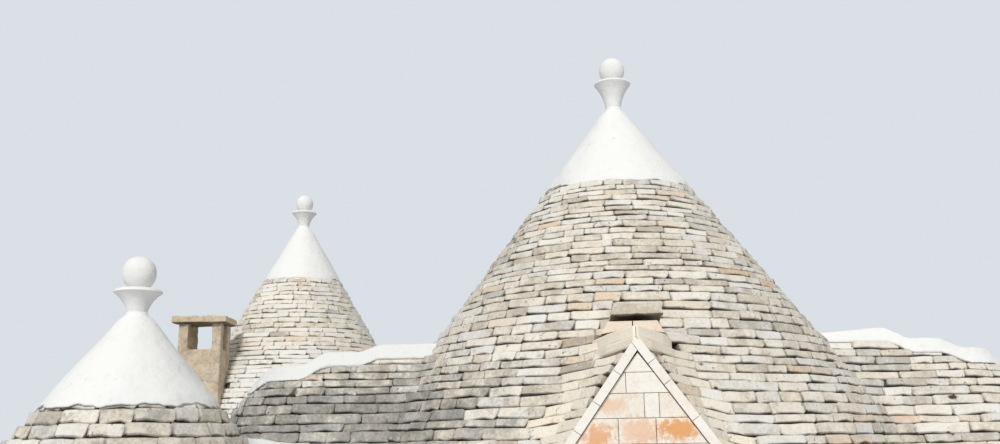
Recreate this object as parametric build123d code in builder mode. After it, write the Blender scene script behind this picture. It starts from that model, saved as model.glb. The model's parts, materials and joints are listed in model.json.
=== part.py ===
from build123d import *
import os
from collections import namedtuple
from math import atan2, cos, degrees, hypot, radians, sin, tan

os.makedirs("parts", exist_ok=True)

# Heights above the ground, in millimetres as every length here
floor_thickness = 120
wall_top = 2250
eaves_thickness = 60
passage_height = 1900
eaves_overhang = 100
eaves_top = wall_top + eaves_thickness

# A roof starts this far in from the edge of its eaves, and the lime coat of its cap stands out as far
roof_setback = 8
lime_coat = 8

# The corbelled vaults bulge by this share of their slant
vault_bulge = 0.11

# The large room under the main cone, with an alcove at each side
main_wall_radius = 2400
main_room_radius = 1600
main_slope = 53.6
main_cap_height = 4780
main_vault_height = 4150
alcove_width = 1300
alcove_reach = 2900

# The rear room and its steeper cone, behind on the left
rear_x = -3790
rear_y = 4800
rear_wall_radius = 1860
rear_room_radius = 1150
rear_slope = 60
rear_cap_height = 4790
rear_vault_height = 4000

# The small round annex at the front left
annex_x = -3620
annex_y = -1890
annex_wall_radius = 950
annex_room_radius = 560
annex_slope = 51.2
annex_cap_height = 2870
annex_vault_height = 2740

# The stone shoulders at each side of the main cone, and their lime-washed tops
shoulder_half_width = 1170
shoulder_left_centre = -2530
shoulder_right_centre = 2600
shoulder_slope = 54.6
shoulder_peak = 3900
coping_thickness = 90
coping_lip = 25

# Each coping runs level from the cone and falls at its steps, given by distance and drop
coping_start = 1200
coping_ramp = 150
coping_bend = 160
left_coping_level = 3328
left_coping_steps = ((2165, 62), (2610, 105), (3090, 90))
right_coping_level = 3408
right_coping_steps = ((2235, 98), (2650, 88), (3050, 40), (3290, 110))

# The passages between the rooms
link_half_width = 1000
passage_width = 800
link_roof_height = 620
annex_passage_width = 600
annex_passage_angle = 58
annex_passage_reach = 2500

# The gabled doorway, turned a little from the front
door_turn = -4.84
gable_front = -2600
gable_half_width = 643
gable_slope = 54.5
tympanum_recess = 30
rake_thickness = 60
rake_depth = 200
door_width = 900
door_springing = 1600
door_surround = 250

# The porch roof, whose hollow sides sweep from the gable into the cone.
# Their feet are given by bearings from the doorway's axis, on the cone.
porch_knee_height = 2750
porch_brow_height = 3235
porch_seat_height = 3345
porch_seat_front = -2080
porch_side_bearing = 17.5
porch_brow_bearing = 12.5
porch_seat_bearing = 10.5
porch_hollow = 0.083
porch_bite = 20

# The two stones at the head of the porch roof, and the shelf stone over a dark slot above them.
# All three are narrower at the top, by a slant at each outer end.
ridge_stone_height = 50
ridge_stone_width = 190
shelf_slot = 40
shelf_width = 360
shelf_thickness = 78
shelf_overhang = 45
shelf_shift = 30
end_slant = 28
joint_gap = 4

# The finials
neck_radius = 70
rim_radius = 168
crown_rise = 32
ball_radius = 116
ball_belt = 14
seat_radius = 62
cup_hollow = 8
cup_waist = 0.62
rim_lean = (-0.3, 1)
crown_lean = (-1, 0.1)
main_rim_height = 230
rear_rim_height = 172
annex_rim_height = 140

# The chimney
chimney_x = -4750
chimney_y = 3600
chimney_width = 520
chimney_depth = 420
chimney_post = 115
chimney_shaft_top = 3765
chimney_opening_height = 320
chimney_slab_thickness = 85
chimney_slab_overhang = 70

# The lime plaster laid in the valley by the annex: a coat on each roof, up to a falling line
valley_coat = 90
valley_run_by_shoulder = 520
valley_run_by_annex = 260
valley_head_x = -3208
valley_head_height = 2683
valley_fall = 6.5

Cell = namedtuple("Cell", "x y wall_radius room_radius slope cap_height vault_height rim_height")
main_cell = Cell(
    0, 0, main_wall_radius, main_room_radius, main_slope,
    main_cap_height, main_vault_height, main_rim_height,
)
rear_cell = Cell(
    rear_x, rear_y, rear_wall_radius, rear_room_radius, rear_slope,
    rear_cap_height, rear_vault_height, rear_rim_height,
)
annex_cell = Cell(
    annex_x, annex_y, annex_wall_radius, annex_room_radius, annex_slope,
    annex_cap_height, annex_vault_height, annex_rim_height,
)

far = 20000
half_door = door_width / 2
door_bay = half_door + door_surround
door_location = Location((0, 0, 0), (0, 0, door_turn))
link_angle = degrees(atan2(rear_y, rear_x))
link_length = hypot(rear_x, rear_y)
mid_link = (rear_x / 2, rear_y / 2)


def keep(piece, name):
    """Label a finished piece and write it."""
    piece.part.label = name
    export_step(piece.part, f"parts/{name}.step")


def rise(cell):
    return tan(radians(cell.slope))


def apex(cell):
    """Where the sides of the cone would meet."""
    return eaves_top + (cell.wall_radius + eaves_overhang - roof_setback) * rise(cell)


def cone_radius(cell, height):
    return (apex(cell) - height) / rise(cell)


def neck_height(cell):
    """Where the lime coat meets the neck of the finial."""
    return apex(cell) + (lime_coat - neck_radius) * rise(cell)


def prism(outline, bottom, top):
    """Stand a plan outline up between two heights."""
    with BuildPart() as body:
        with BuildSketch(Plane.XY.offset(bottom)):
            add(outline)
        extrude(amount=top - bottom)
    return body.part


def fan(cell, start, end):
    """A wedge of the plan seen from the middle of a room, between two bearings."""
    middle = (cell.x, cell.y)
    step = (end - start) / 3
    corners = [
        (cell.x + far * cos(radians(start + i * step)), cell.y + far * sin(radians(start + i * step)))
        for i in range(4)
    ]
    with BuildSketch() as wedge:
        with BuildLine():
            Polyline(middle, *corners, close=True)
        make_face()
    return prism(wedge.sketch, -far, far)


def disc(cell, radius):
    with BuildSketch() as circle:
        with Locations((cell.x, cell.y)):
            Circle(radius)
    return circle.sketch


def strip(middle, length, width, angle):
    with BuildSketch() as run:
        with Locations(Location((middle[0], middle[1], 0), (0, 0, angle))):
            Rectangle(length, width)
    return run.sketch


def shoulder_outline(grow):
    """The long rounded plan of the two shoulders."""
    run = shoulder_right_centre - shoulder_left_centre
    middle = (shoulder_right_centre + shoulder_left_centre) / 2
    with BuildSketch() as outline:
        with Locations((middle, 0)):
            SlotCenterToCenter(run, 2 * (shoulder_half_width + grow))
    return outline.sketch


def main_outline(grow):
    with BuildSketch() as outline:
        Circle(main_wall_radius + grow)
        add(shoulder_outline(grow))
    return outline.sketch


def main_room():
    with BuildSketch() as room:
        Circle(main_room_radius)
        Rectangle(2 * alcove_reach, alcove_width)
    return room.sketch


def solid_cone(cell, lowest, grow=0):
    """The full cone of a roof from a height up to its point, for cutting what leans on it."""
    with BuildPart() as body:
        with BuildSketch(Plane.XZ):
            with BuildLine():
                Polyline(
                    (0, lowest),
                    (cone_radius(cell, lowest) + grow, lowest),
                    (0, apex(cell) + grow * rise(cell)),
                    close=True,
                )
            make_face()
        revolve(axis=Axis.Z)
    return body.part.moved(Location((cell.x, cell.y, 0)))


def shoulder_loaf(grow=0):
    """The battered mass of both shoulders, before the cone and the wavy top are cut from it."""
    with BuildPart() as body:
        with BuildSketch(Plane.XY.offset(eaves_top)):
            add(shoulder_outline(eaves_overhang - roof_setback + grow))
        extrude(amount=shoulder_peak - eaves_top, taper=90 - shoulder_slope)
    return body.part


link_strip = strip(mid_link, link_length, 2 * link_half_width, link_angle)
link_passage = prism(strip(mid_link, link_length, passage_width, link_angle), -far, passage_height)
annex_passage_mid = (
    annex_x + annex_passage_reach / 2 * cos(radians(annex_passage_angle)),
    annex_y + annex_passage_reach / 2 * sin(radians(annex_passage_angle)),
)
annex_strip = strip(annex_passage_mid, annex_passage_reach, annex_passage_width, annex_passage_angle)
annex_passage = prism(annex_strip, -far, passage_height)
main_block = prism(main_outline(0), -far, far)
rear_block = prism(disc(rear_cell, rear_wall_radius), -far, far)

with BuildPart() as doorway:
    with BuildSketch(Plane.XY.offset(-far)):
        with Locations((0, -main_wall_radius)):
            Rectangle(door_width, 2 * main_wall_radius)
    extrude(amount=far + door_springing)
    with BuildSketch(Plane.XY.offset(door_springing)):
        with Locations((0, -main_wall_radius)):
            Rectangle(2 * door_bay, 2 * main_wall_radius)
    extrude(amount=wall_top - door_springing)
doorway_cut = doorway.part.moved(door_location)

# Walls of the main room, split round the plan
main_ring = prism(main_outline(0), 0, wall_top) - prism(main_room(), -far, far)
main_segments = {
    "front_wall_left": (210, 270),
    "front_wall_right": (270, 330),
    "right_end_wall": (-30, 30),
    "back_wall_right": (30, 90),
    "back_wall_left": (90, 150),
    "left_end_wall": (150, 210),
}
for name, (start, end) in main_segments.items():
    with BuildPart() as wall:
        add(main_ring)
        add(fan(main_cell, start, end), mode=Mode.INTERSECT)
        add(doorway_cut, mode=Mode.SUBTRACT)
        add(link_passage, mode=Mode.SUBTRACT)
        add(annex_passage, mode=Mode.SUBTRACT)
    keep(wall, name)

# Walls of the rear room
rear_ring = prism(disc(rear_cell, rear_wall_radius), 0, wall_top) - prism(disc(rear_cell, rear_room_radius), -far, far)
rear_door_bearing = link_angle - 180
rear_segments = {
    "rear_wall_right": (rear_door_bearing, rear_door_bearing + 180),
    "rear_wall_left": (rear_door_bearing + 180, rear_door_bearing + 360),
}
for name, (start, end) in rear_segments.items():
    with BuildPart() as wall:
        add(rear_ring)
        add(fan(rear_cell, start, end), mode=Mode.INTERSECT)
        add(link_passage, mode=Mode.SUBTRACT)
    keep(wall, name)

# Walls of the annex, which lean on the main wall
annex_ring = prism(disc(annex_cell, annex_wall_radius), 0, wall_top)
annex_ring = annex_ring - prism(disc(annex_cell, annex_room_radius), -far, far)
annex_segments = {
    "annex_wall_right": (annex_passage_angle - 180, annex_passage_angle),
    "annex_wall_left": (annex_passage_angle, annex_passage_angle + 180),
}
for name, (start, end) in annex_segments.items():
    with BuildPart() as wall:
        add(annex_ring)
        add(fan(annex_cell, start, end), mode=Mode.INTERSECT)
        add(main_block, mode=Mode.SUBTRACT)
        add(annex_passage, mode=Mode.SUBTRACT)
    keep(wall, name)

# The passage to the rear room: two side walls and a stone roof
link_core = prism(strip(mid_link, link_length, passage_width, link_angle), -far, far)
for name, side in (("passage_wall_left", 1), ("passage_wall_right", -1)):
    half = far / 2
    shift = (-side * half * sin(radians(link_angle)), side * half * cos(radians(link_angle)))
    with BuildPart() as wall:
        add(prism(link_strip, 0, wall_top))
        add(prism(strip(shift, far, far, link_angle), -far, far), mode=Mode.INTERSECT)
        add(link_core, mode=Mode.SUBTRACT)
        add(main_block, mode=Mode.SUBTRACT)
        add(rear_block, mode=Mode.SUBTRACT)
    keep(wall, name)

# Floors
with BuildPart() as main_floor:
    with BuildSketch():
        add(main_room())
    extrude(amount=floor_thickness)
keep(main_floor, "main_floor")

with BuildPart() as step_block:
    with BuildSketch():
        with Locations((0, gable_front)):
            Rectangle(door_width, -gable_front, align=(Align.CENTER, Align.MIN))
    extrude(amount=floor_thickness)

with BuildPart() as door_step:
    add(step_block.part.moved(door_location))
    add(prism(main_room(), -far, far), mode=Mode.SUBTRACT)
keep(door_step, "door_step")

with BuildPart() as rear_floor:
    add(prism(disc(rear_cell, rear_room_radius), 0, floor_thickness))
    add(prism(strip(mid_link, link_length, passage_width, link_angle), 0, floor_thickness))
    add(prism(main_room(), -far, far), mode=Mode.SUBTRACT)
keep(rear_floor, "rear_floor")

with BuildPart() as annex_floor:
    add(prism(disc(annex_cell, annex_room_radius), 0, floor_thickness))
    add(prism(annex_strip, 0, floor_thickness))
    add(prism(main_room(), -far, far), mode=Mode.SUBTRACT)
keep(annex_floor, "annex_floor")


def stack(grow=0):
    """The footprint of the chimney, stood up to cut what it passes through."""
    with BuildSketch() as foot:
        with Locations((chimney_x, chimney_y)):
            Rectangle(chimney_width + 2 * grow, chimney_depth + 2 * grow)
    return prism(foot.sketch, -far, far)


# The slabs that project at the head of the walls
with BuildPart() as main_eaves:
    add(prism(main_outline(eaves_overhang), wall_top, eaves_top))
    add(prism(main_room(), -far, far), mode=Mode.SUBTRACT)
keep(main_eaves, "main_eaves")

with BuildPart() as rear_eaves:
    add(prism(disc(rear_cell, rear_wall_radius + eaves_overhang), wall_top, eaves_top))
    add(prism(disc(rear_cell, rear_room_radius), -far, far), mode=Mode.SUBTRACT)
keep(rear_eaves, "rear_eaves")

with BuildPart() as annex_eaves:
    add(prism(disc(annex_cell, annex_wall_radius + eaves_overhang), wall_top, eaves_top))
    add(prism(disc(annex_cell, annex_room_radius), -far, far), mode=Mode.SUBTRACT)
    add(prism(main_outline(eaves_overhang), -far, far), mode=Mode.SUBTRACT)
keep(annex_eaves, "annex_eaves")


def cone_roof(cell):
    """A dry-stone cone with the corbelled vault of the room hollowed from it."""
    with BuildPart() as roof:
        with BuildSketch(Plane.XZ):
            with BuildLine():
                Polyline(
                    (cell.room_radius, eaves_top),
                    (cone_radius(cell, eaves_top), eaves_top),
                    (cone_radius(cell, cell.cap_height), cell.cap_height),
                    (0, cell.cap_height),
                    (0, cell.vault_height),
                )
                slant = hypot(cell.room_radius, cell.vault_height - eaves_top)
                SagittaArc((0, cell.vault_height), (cell.room_radius, eaves_top), vault_bulge * slant)
            make_face()
        revolve(axis=Axis.Z)
    return roof.part.moved(Location((cell.x, cell.y, 0)))


main_solid = solid_cone(main_cell, eaves_top)
rear_solid = solid_cone(rear_cell, eaves_top)
annex_solid = solid_cone(annex_cell, eaves_top)
loaf = shoulder_loaf()

with BuildPart() as main_roof:
    add(cone_roof(main_cell))
keep(main_roof, "main_roof")

with BuildPart() as rear_roof:
    add(cone_roof(rear_cell))
    add(stack(), mode=Mode.SUBTRACT)
keep(rear_roof, "rear_roof")

with BuildPart() as annex_roof:
    add(cone_roof(annex_cell))
    add(loaf, mode=Mode.SUBTRACT)
keep(annex_roof, "annex_roof")

# Lime-washed caps and their finials, a hollow cup with a ball on it
for label, cell in (("main", main_cell), ("rear", rear_cell), ("annex", annex_cell)):
    neck = neck_height(cell)
    rim = neck + cell.rim_height
    crown = rim + crown_rise
    with BuildPart() as cap:
        with BuildSketch(Plane.XZ):
            with BuildLine():
                Polyline(
                    (0, cell.cap_height),
                    (cone_radius(cell, cell.cap_height) + lime_coat, cell.cap_height),
                    (neck_radius, neck),
                    (0, neck),
                    close=True,
                )
            make_face()
        revolve(axis=Axis.Z)
    cap.part = cap.part.moved(Location((cell.x, cell.y, 0)))
    keep(cap, f"{label}_white_cap")

    seat_rise = (ball_radius**2 - seat_radius**2) ** 0.5
    middle = crown + seat_rise
    top = middle + ball_belt + ball_radius
    with BuildPart() as finial:
        with BuildSketch(Plane.XZ):
            with BuildLine():
                Line((0, neck), (neck_radius, neck))
                Spline(
                    (neck_radius, neck),
                    ((neck_radius + rim_radius) / 2 - cup_hollow, neck + cup_waist * cell.rim_height),
                    (rim_radius, rim),
                )
                Spline((rim_radius, rim), (seat_radius, crown), tangents=(rim_lean, crown_lean))
                RadiusArc((seat_radius, crown), (ball_radius, middle), -ball_radius)
                Line((ball_radius, middle), (ball_radius, middle + ball_belt))
                RadiusArc((ball_radius, middle + ball_belt), (0, top), -ball_radius)
                Line((0, top), (0, neck))
            make_face()
        revolve(axis=Axis.Z)
    finial.part = finial.part.moved(Location((cell.x, cell.y, 0)))
    keep(finial, f"{label}_finial")


def wave_points(side, level, steps):
    """The corners of the line under a coping, from the cone outwards: level stretches and short falls."""
    points = [(side * coping_start, level)]
    for distance, drop in steps:
        points.append((side * (distance - coping_ramp / 2), level))
        level = level - drop
        points.append((side * (distance + coping_ramp / 2), level))
    return points


def above_wave(wave, lift):
    """Everything over a coping's wavy line, raised by a thickness."""
    side = 1 if wave[0][0] > 0 else -1
    points = [(x, z + lift) for x, z in wave]
    with BuildPart() as body:
        with BuildSketch(Plane.XZ.offset(-far / 2)):
            with BuildLine():
                FilletPolyline(*points, radius=coping_bend)
                Polyline(points[-1], (side * far / 4, points[-1][1]), (side * far / 4, far / 4))
                Polyline((side * far / 4, far / 4), (points[0][0], far / 4), points[0])
            make_face()
        extrude(amount=far)
    return body.part


left_wave = wave_points(-1, left_coping_level, left_coping_steps)
right_wave = wave_points(1, right_coping_level, right_coping_steps)
for label, wave in (("left", left_wave), ("right", right_wave)):
    upper = above_wave(wave, coping_thickness)
    lower = above_wave(wave, 0)
    side_bearings = (90, 270) if label == "left" else (-90, 90)
    half_plan = fan(main_cell, side_bearings[0], side_bearings[0] + 90) + fan(
        main_cell, side_bearings[0] + 90, side_bearings[1]
    )
    with BuildPart() as shoulder:
        add(loaf)
        add(half_plan, mode=Mode.INTERSECT)
        add(main_solid, mode=Mode.SUBTRACT)
        add(lower, mode=Mode.SUBTRACT)
    keep(shoulder, f"{label}_shoulder")

    with BuildPart() as coping:
        add(shoulder_loaf(coping_lip))
        add(half_plan, mode=Mode.INTERSECT)
        add(lower, mode=Mode.INTERSECT)
        add(upper, mode=Mode.SUBTRACT)
        add(main_solid, mode=Mode.SUBTRACT)
    keep(coping, f"{label}_coping")

# Lime plaster in the valley between the annex roof and the left shoulder
below_valley_line = prism(strip((0, 0), 2 * far, 2 * far, 0), -far, 0).moved(
    Location((valley_head_x, 0, valley_head_height), (0, valley_fall, 0))
)
with BuildPart() as valley:
    add(solid_cone(annex_cell, eaves_top, valley_run_by_shoulder))
    add(shoulder_loaf(valley_coat), mode=Mode.INTERSECT)
    add(solid_cone(annex_cell, eaves_top, valley_coat) & shoulder_loaf(valley_run_by_annex))
    add(below_valley_line, mode=Mode.INTERSECT)
    add(loaf, mode=Mode.SUBTRACT)
    add(annex_solid, mode=Mode.SUBTRACT)
keep(valley, "valley_plaster")

# The roof over the passage
with BuildPart() as passage_roof:
    with BuildSketch(Plane.XY.offset(wall_top)):
        add(link_strip)
    extrude(amount=link_roof_height, taper=90 - shoulder_slope)
    add(prism(main_outline(eaves_overhang), -far, eaves_top), mode=Mode.SUBTRACT)
    add(prism(disc(rear_cell, rear_wall_radius + eaves_overhang), -far, eaves_top), mode=Mode.SUBTRACT)
    add(main_solid, mode=Mode.SUBTRACT)
    add(rear_solid, mode=Mode.SUBTRACT)
    add(loaf, mode=Mode.SUBTRACT)
keep(passage_roof, "passage_roof")

# The piers at each side of the doorway, and the arch between them
for name, side in (("door_pier_left", -1), ("door_pier_right", 1)):
    with BuildPart() as pier_block:
        with BuildSketch():
            with Locations((side * (half_door + door_surround / 2), gable_front)):
                Rectangle(door_surround, -gable_front, align=(Align.CENTER, Align.MIN))
        extrude(amount=door_springing)
    with BuildPart() as pier:
        add(pier_block.part.moved(door_location))
        add(main_block, mode=Mode.SUBTRACT)
    keep(pier, name)

with BuildPart() as arch_block:
    with BuildSketch(Plane.XZ.offset(-gable_front)):
        with Locations((0, door_springing)):
            Rectangle(2 * door_bay, wall_top - door_springing, align=(Align.CENTER, Align.MIN))
            Circle(half_door, mode=Mode.SUBTRACT)
    extrude(amount=gable_front)

with BuildPart() as door_arch:
    add(arch_block.part.moved(door_location))
    add(prism(main_room(), -far, far), mode=Mode.SUBTRACT)
keep(door_arch, "door_arch")

# The gable over the doorway
gable_rise = tan(radians(gable_slope))
gable_peak = wall_top + gable_half_width * gable_rise
rake_peak = gable_peak + rake_thickness / cos(radians(gable_slope))
rake_back = gable_front + rake_depth
head_half_width = ridge_stone_width + joint_gap / 2


def gable_prism(front):
    """The wedge inside the rakes, from a depth back to the middle of the house."""
    with BuildPart() as wedge:
        with BuildSketch(Plane.XZ.offset(-front)):
            with BuildLine():
                Polyline((-gable_half_width, wall_top), (gable_half_width, wall_top), (0, gable_peak), close=True)
            make_face()
        extrude(amount=front)
    return wedge.part.moved(door_location)


def rake_half_width(height):
    return (rake_peak - height) / gable_rise


def porch_section(height, front, half_width, bearing):
    """Plan of the porch roof at a height: a blunt front and two hollow sides that run into the cone."""
    radius = cone_radius(main_cell, height) - porch_bite
    corner = Vector(half_width, front)
    foot = Vector(radius * sin(radians(bearing)), -radius * cos(radians(bearing)))
    middle = (corner + foot) / 2 + (foot - corner).rotate(Axis.Z, 90) * porch_hollow
    with BuildSketch(Plane.XY.offset(height)) as section:
        with BuildLine():
            for side in (1, -1):
                ThreePointArc(
                    (side * corner.X, corner.Y), (side * middle.X, middle.Y), (side * foot.X, foot.Y)
                )
            Line((corner.X, corner.Y), (-corner.X, corner.Y))
            Line((foot.X, foot.Y), (-foot.X, foot.Y))
        make_face()
    return section.sketch


porch_levels = (
    (wall_top, gable_front, rake_half_width(wall_top), porch_side_bearing),
    (porch_knee_height, gable_front, rake_half_width(porch_knee_height), porch_side_bearing),
    (porch_brow_height, gable_front, rake_half_width(porch_brow_height), porch_brow_bearing),
    (porch_seat_height, porch_seat_front, head_half_width, porch_seat_bearing),
)
with BuildPart() as porch_block:
    loft([porch_section(*level) for level in porch_levels], ruled=True)
porch_mass = porch_block.part.moved(door_location)
eaves_block = prism(main_outline(eaves_overhang), -far, eaves_top)
rake_zone = prism(strip((0, gable_front), 2 * far, 2 * rake_depth, 0), -far, far).moved(door_location)

with BuildPart() as tympanum:
    add(gable_prism(gable_front + tympanum_recess))
    add(eaves_block, mode=Mode.SUBTRACT)
    add(main_solid, mode=Mode.SUBTRACT)
keep(tympanum, "tympanum")

with BuildPart() as porch_roof:
    add(porch_mass)
    add(rake_zone, mode=Mode.SUBTRACT)
    add(gable_prism(gable_front), mode=Mode.SUBTRACT)
    add(eaves_block, mode=Mode.SUBTRACT)
    add(main_solid, mode=Mode.SUBTRACT)
keep(porch_roof, "porch_roof")

for label, side in (("left", -1), ("right", 1)):
    half_plan = prism(strip((side * far / 2, 0), far, 2 * far, 0), -far, far).moved(door_location)
    with BuildPart() as rake:
        add(porch_mass)
        add(rake_zone, mode=Mode.INTERSECT)
        add(half_plan, mode=Mode.INTERSECT)
        add(gable_prism(gable_front), mode=Mode.SUBTRACT)
        add(eaves_block, mode=Mode.SUBTRACT)
        add(main_solid, mode=Mode.SUBTRACT)
    keep(rake, f"gable_rake_{label}")

# Two stones close the head of the porch roof, and the shelf stone juts from the cone over them
with BuildPart() as ridge_block:
    with BuildSketch(Plane.XZ.offset(-porch_seat_front)):
        for side in (-1, 1):
            with BuildLine():
                Polyline(
                    (side * joint_gap / 2, porch_seat_height),
                    (side * ridge_stone_width, porch_seat_height),
                    (side * (ridge_stone_width - end_slant), porch_seat_height + ridge_stone_height),
                    (side * joint_gap / 2, porch_seat_height + ridge_stone_height),
                    close=True,
                )
            make_face()
    extrude(amount=porch_seat_front)

with BuildPart() as ridge_stones:
    add(ridge_block.part.moved(door_location))
    add(main_solid, mode=Mode.SUBTRACT)
keep(ridge_stones, "ridge_stones")

shelf_foot = porch_seat_height + ridge_stone_height + shelf_slot
shelf_front = porch_seat_front - shelf_overhang
with BuildPart() as shelf_block:
    with BuildSketch(Plane.XZ.offset(-shelf_front)):
        with BuildLine():
            Polyline(
                (shelf_shift - shelf_width / 2, shelf_foot),
                (shelf_shift + shelf_width / 2, shelf_foot),
                (shelf_shift + shelf_width / 2 - end_slant, shelf_foot + shelf_thickness),
                (shelf_shift - shelf_width / 2 + end_slant, shelf_foot + shelf_thickness),
                close=True,
            )
        make_face()
    extrude(amount=shelf_front)

with BuildPart() as shelf_stone:
    add(shelf_block.part.moved(door_location))
    add(main_solid, mode=Mode.SUBTRACT)
keep(shelf_stone, "shelf_stone")

# The chimney: a hollow shaft that ends in four posts, and a cover slab
with BuildPart() as chimney_stack:
    with BuildSketch(Plane.XY.offset(eaves_top)):
        with Locations((chimney_x, chimney_y)):
            Rectangle(chimney_width, chimney_depth)
            Rectangle(chimney_width - 2 * chimney_post, chimney_depth - 2 * chimney_post, mode=Mode.SUBTRACT)
    extrude(amount=chimney_shaft_top - eaves_top)
    with BuildSketch(Plane.XY.offset(chimney_shaft_top)):
        with Locations((chimney_x, chimney_y)):
            with GridLocations(chimney_width - chimney_post, chimney_depth - chimney_post, 2, 2):
                Rectangle(chimney_post, chimney_post)
    extrude(amount=chimney_opening_height)
keep(chimney_stack, "chimney_stack")

with BuildPart() as chimney_slab:
    with BuildSketch(Plane.XY.offset(chimney_shaft_top + chimney_opening_height)):
        with Locations((chimney_x, chimney_y)):
            Rectangle(chimney_width + 2 * chimney_slab_overhang, chimney_depth + 2 * chimney_slab_overhang)
    extrude(amount=chimney_slab_thickness)
keep(chimney_slab, "chimney_slab")
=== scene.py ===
import json
from collections import namedtuple
from math import atan, atan2, cos, degrees, exp, hypot, pi, radians, sin, sqrt, tan

import bmesh
import bpy
import numpy as np
from mathutils import Matrix, Vector, noise
from mathutils.bvhtree import BVHTree

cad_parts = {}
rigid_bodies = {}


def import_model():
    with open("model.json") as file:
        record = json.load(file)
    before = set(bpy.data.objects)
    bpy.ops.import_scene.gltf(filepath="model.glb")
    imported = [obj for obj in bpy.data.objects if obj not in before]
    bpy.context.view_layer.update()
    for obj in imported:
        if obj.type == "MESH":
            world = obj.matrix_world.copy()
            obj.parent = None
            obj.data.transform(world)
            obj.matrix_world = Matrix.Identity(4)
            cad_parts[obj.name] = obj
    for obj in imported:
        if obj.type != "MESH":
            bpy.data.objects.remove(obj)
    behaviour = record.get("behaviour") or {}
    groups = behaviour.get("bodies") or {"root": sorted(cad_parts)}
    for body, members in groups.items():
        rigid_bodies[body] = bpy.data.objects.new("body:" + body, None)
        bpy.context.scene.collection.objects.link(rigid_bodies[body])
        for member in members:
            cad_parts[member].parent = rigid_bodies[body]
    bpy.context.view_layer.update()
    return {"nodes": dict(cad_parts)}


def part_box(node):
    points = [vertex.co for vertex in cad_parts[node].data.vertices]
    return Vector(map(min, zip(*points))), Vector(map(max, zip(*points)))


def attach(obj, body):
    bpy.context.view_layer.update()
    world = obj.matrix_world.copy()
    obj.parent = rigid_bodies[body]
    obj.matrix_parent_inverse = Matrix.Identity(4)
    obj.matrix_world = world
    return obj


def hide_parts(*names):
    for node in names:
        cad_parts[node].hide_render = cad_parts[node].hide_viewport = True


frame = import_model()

nodes = frame["nodes"]

# The camera that took in the house: its place, pitch, roll and focal length in pixels
eye = (-1.066, -8.94, 2.6)
pitch = 12.3
roll = -0.92
focal_pixels = 1011
picture_width = 1000
sensor = 36

# The laying of the roof stones: their sizes, how much they lean, and their grain
course_low = 0.076
course_high = 0.054
stone_short = 0.15
stone_long = 0.48
stone_depth = 0.13
stone_stand = -0.003
stone_kinds = 8
joint = 0.004
core_depth = 0.045
porch_stone_depth = 0.045
lean_share = 0.5
head_lean = 0.12
grain_scale = 10.0
grain_lift = 0.008
crease = radians(38)

# How far stones stray from true: in height, standing out, lean, run and turn, and in the share
# of their thickness and of the gaps at their ends and beds
stray_height = 0.002
stray_stand = 0.004
stray_turn = (0.035, 0.01, 0.014)
thick_spread = (0.97, 1.05)
end_gap_spread = (0.1, 1.2)
bed_gap_spread = (0.6, 3.2)

# How far a stone follows the curve of its bed, and how far it runs on where the bed is hollow
arc_share = 0.6
hollow_overlap = 0.09

# How far stones under the lime are sunk below it, and how high the beds run up behind the caps
cap_sink = 0.013
main_overlap = 0.10
rear_overlap = 0.08
annex_overlap = 0.03

# How widely the joins of the roofs are rounded in plan
shoulder_blend = 0.30
porch_blend = 0.12
blend_fade = 0.45

# The gabled doorway
door_bearing = radians(-94.84)
door_turned = door_bearing + pi / 2
gable_slope = radians(54.5)
gable_rise = tan(gable_slope)
gable_front = 2.6
gable_foot = 2.25
gable_half_width = 0.643
door_half_width = 0.45
door_springing = 1.6
door_bay = 0.70
tympanum_face = 2.572
rake_thickness = 0.06
rake_face = 0.035
gable_peak = gable_foot + gable_half_width * gable_rise
rake_peak = gable_peak + rake_thickness / cos(gable_slope)

# The porch roof's heights, its front and half width at the top, and its hollow in plan
knee_height = 2.75
brow_height = 3.235
seat_front = 2.08
seat_half_width = 0.192
porch_hollow = 0.083
porch_bite = 0.02
porch_foot_turn = radians(18)

# The swell of stones beside the porch's head, and the spot that its dressed slabs take
swell_low = 2.85
swell_high = 3.15
hip_swell = 0.09
hip_turn = radians(7.5)
hip_width = radians(4)
head_low = 3.20
head_back = -1.96
head_half = 0.26

# Where the shoulders stand clear of the main cone
shoulder_from = 1.3
clear_of_cone = 0.07

rng = np.random.default_rng(7)


def corners(name):
    """Lowest and highest corner of a node."""
    low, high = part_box(name)
    return np.array(low), np.array(high)


def between(value, start, end):
    """Share of the way from one value to another, held between nought and one."""
    return min(max((value - start) / (end - start), 0.0), 1.0)


Cone = namedtuple("Cone", "x y foot_radius foot top_radius top rise")


def cone_of(name, coat=0.008):
    """Read a roof's cone off the frame: its axis, its foot, and where its cap starts."""
    low, high = corners(name + "_roof")
    cap_low, cap_high = corners(name + "_white_cap")
    middle = (cap_low + cap_high) / 2
    top_radius = (cap_high[0] - cap_low[0]) / 2 - coat
    foot_radius = max(abs(high[0] - middle[0]), abs(low[0] - middle[0]))
    rise = (cap_low[2] - low[2]) / (foot_radius - top_radius)
    return Cone(middle[0], middle[1], foot_radius, low[2], top_radius, cap_low[2], rise)


main_cone, rear_cone, annex_cone = (cone_of(name) for name in ("main", "rear", "annex"))


def cone_radius(cone, height):
    return cone.foot_radius - (height - cone.foot) / cone.rise


# The shoulders' plan is a long slot that narrows upwards
shoulder_low = corners("left_shoulder")[0]
shoulder_high = corners("right_shoulder")[1]
shoulder_foot = shoulder_high[1]
shoulder_rise = tan(radians(54.6))
shoulder_left = shoulder_low[0] + shoulder_foot
shoulder_right = shoulder_high[0] - shoulder_foot


def underside(name, step=0.05):
    """Height of a coping's underside along its middle, as distances and heights."""
    low, high = corners(name)
    tree = BVHTree.FromObject(nodes[name], bpy.context.evaluated_depsgraph_get())
    found = []
    for x in np.arange(low[0] + step / 2, high[0], step):
        hit = tree.ray_cast(Vector((x, 0, low[2] - 1)), Vector((0, 0, 1)))[0]
        if hit is not None:
            found.append((x, hit.z))
    return np.array(found).T


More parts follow.
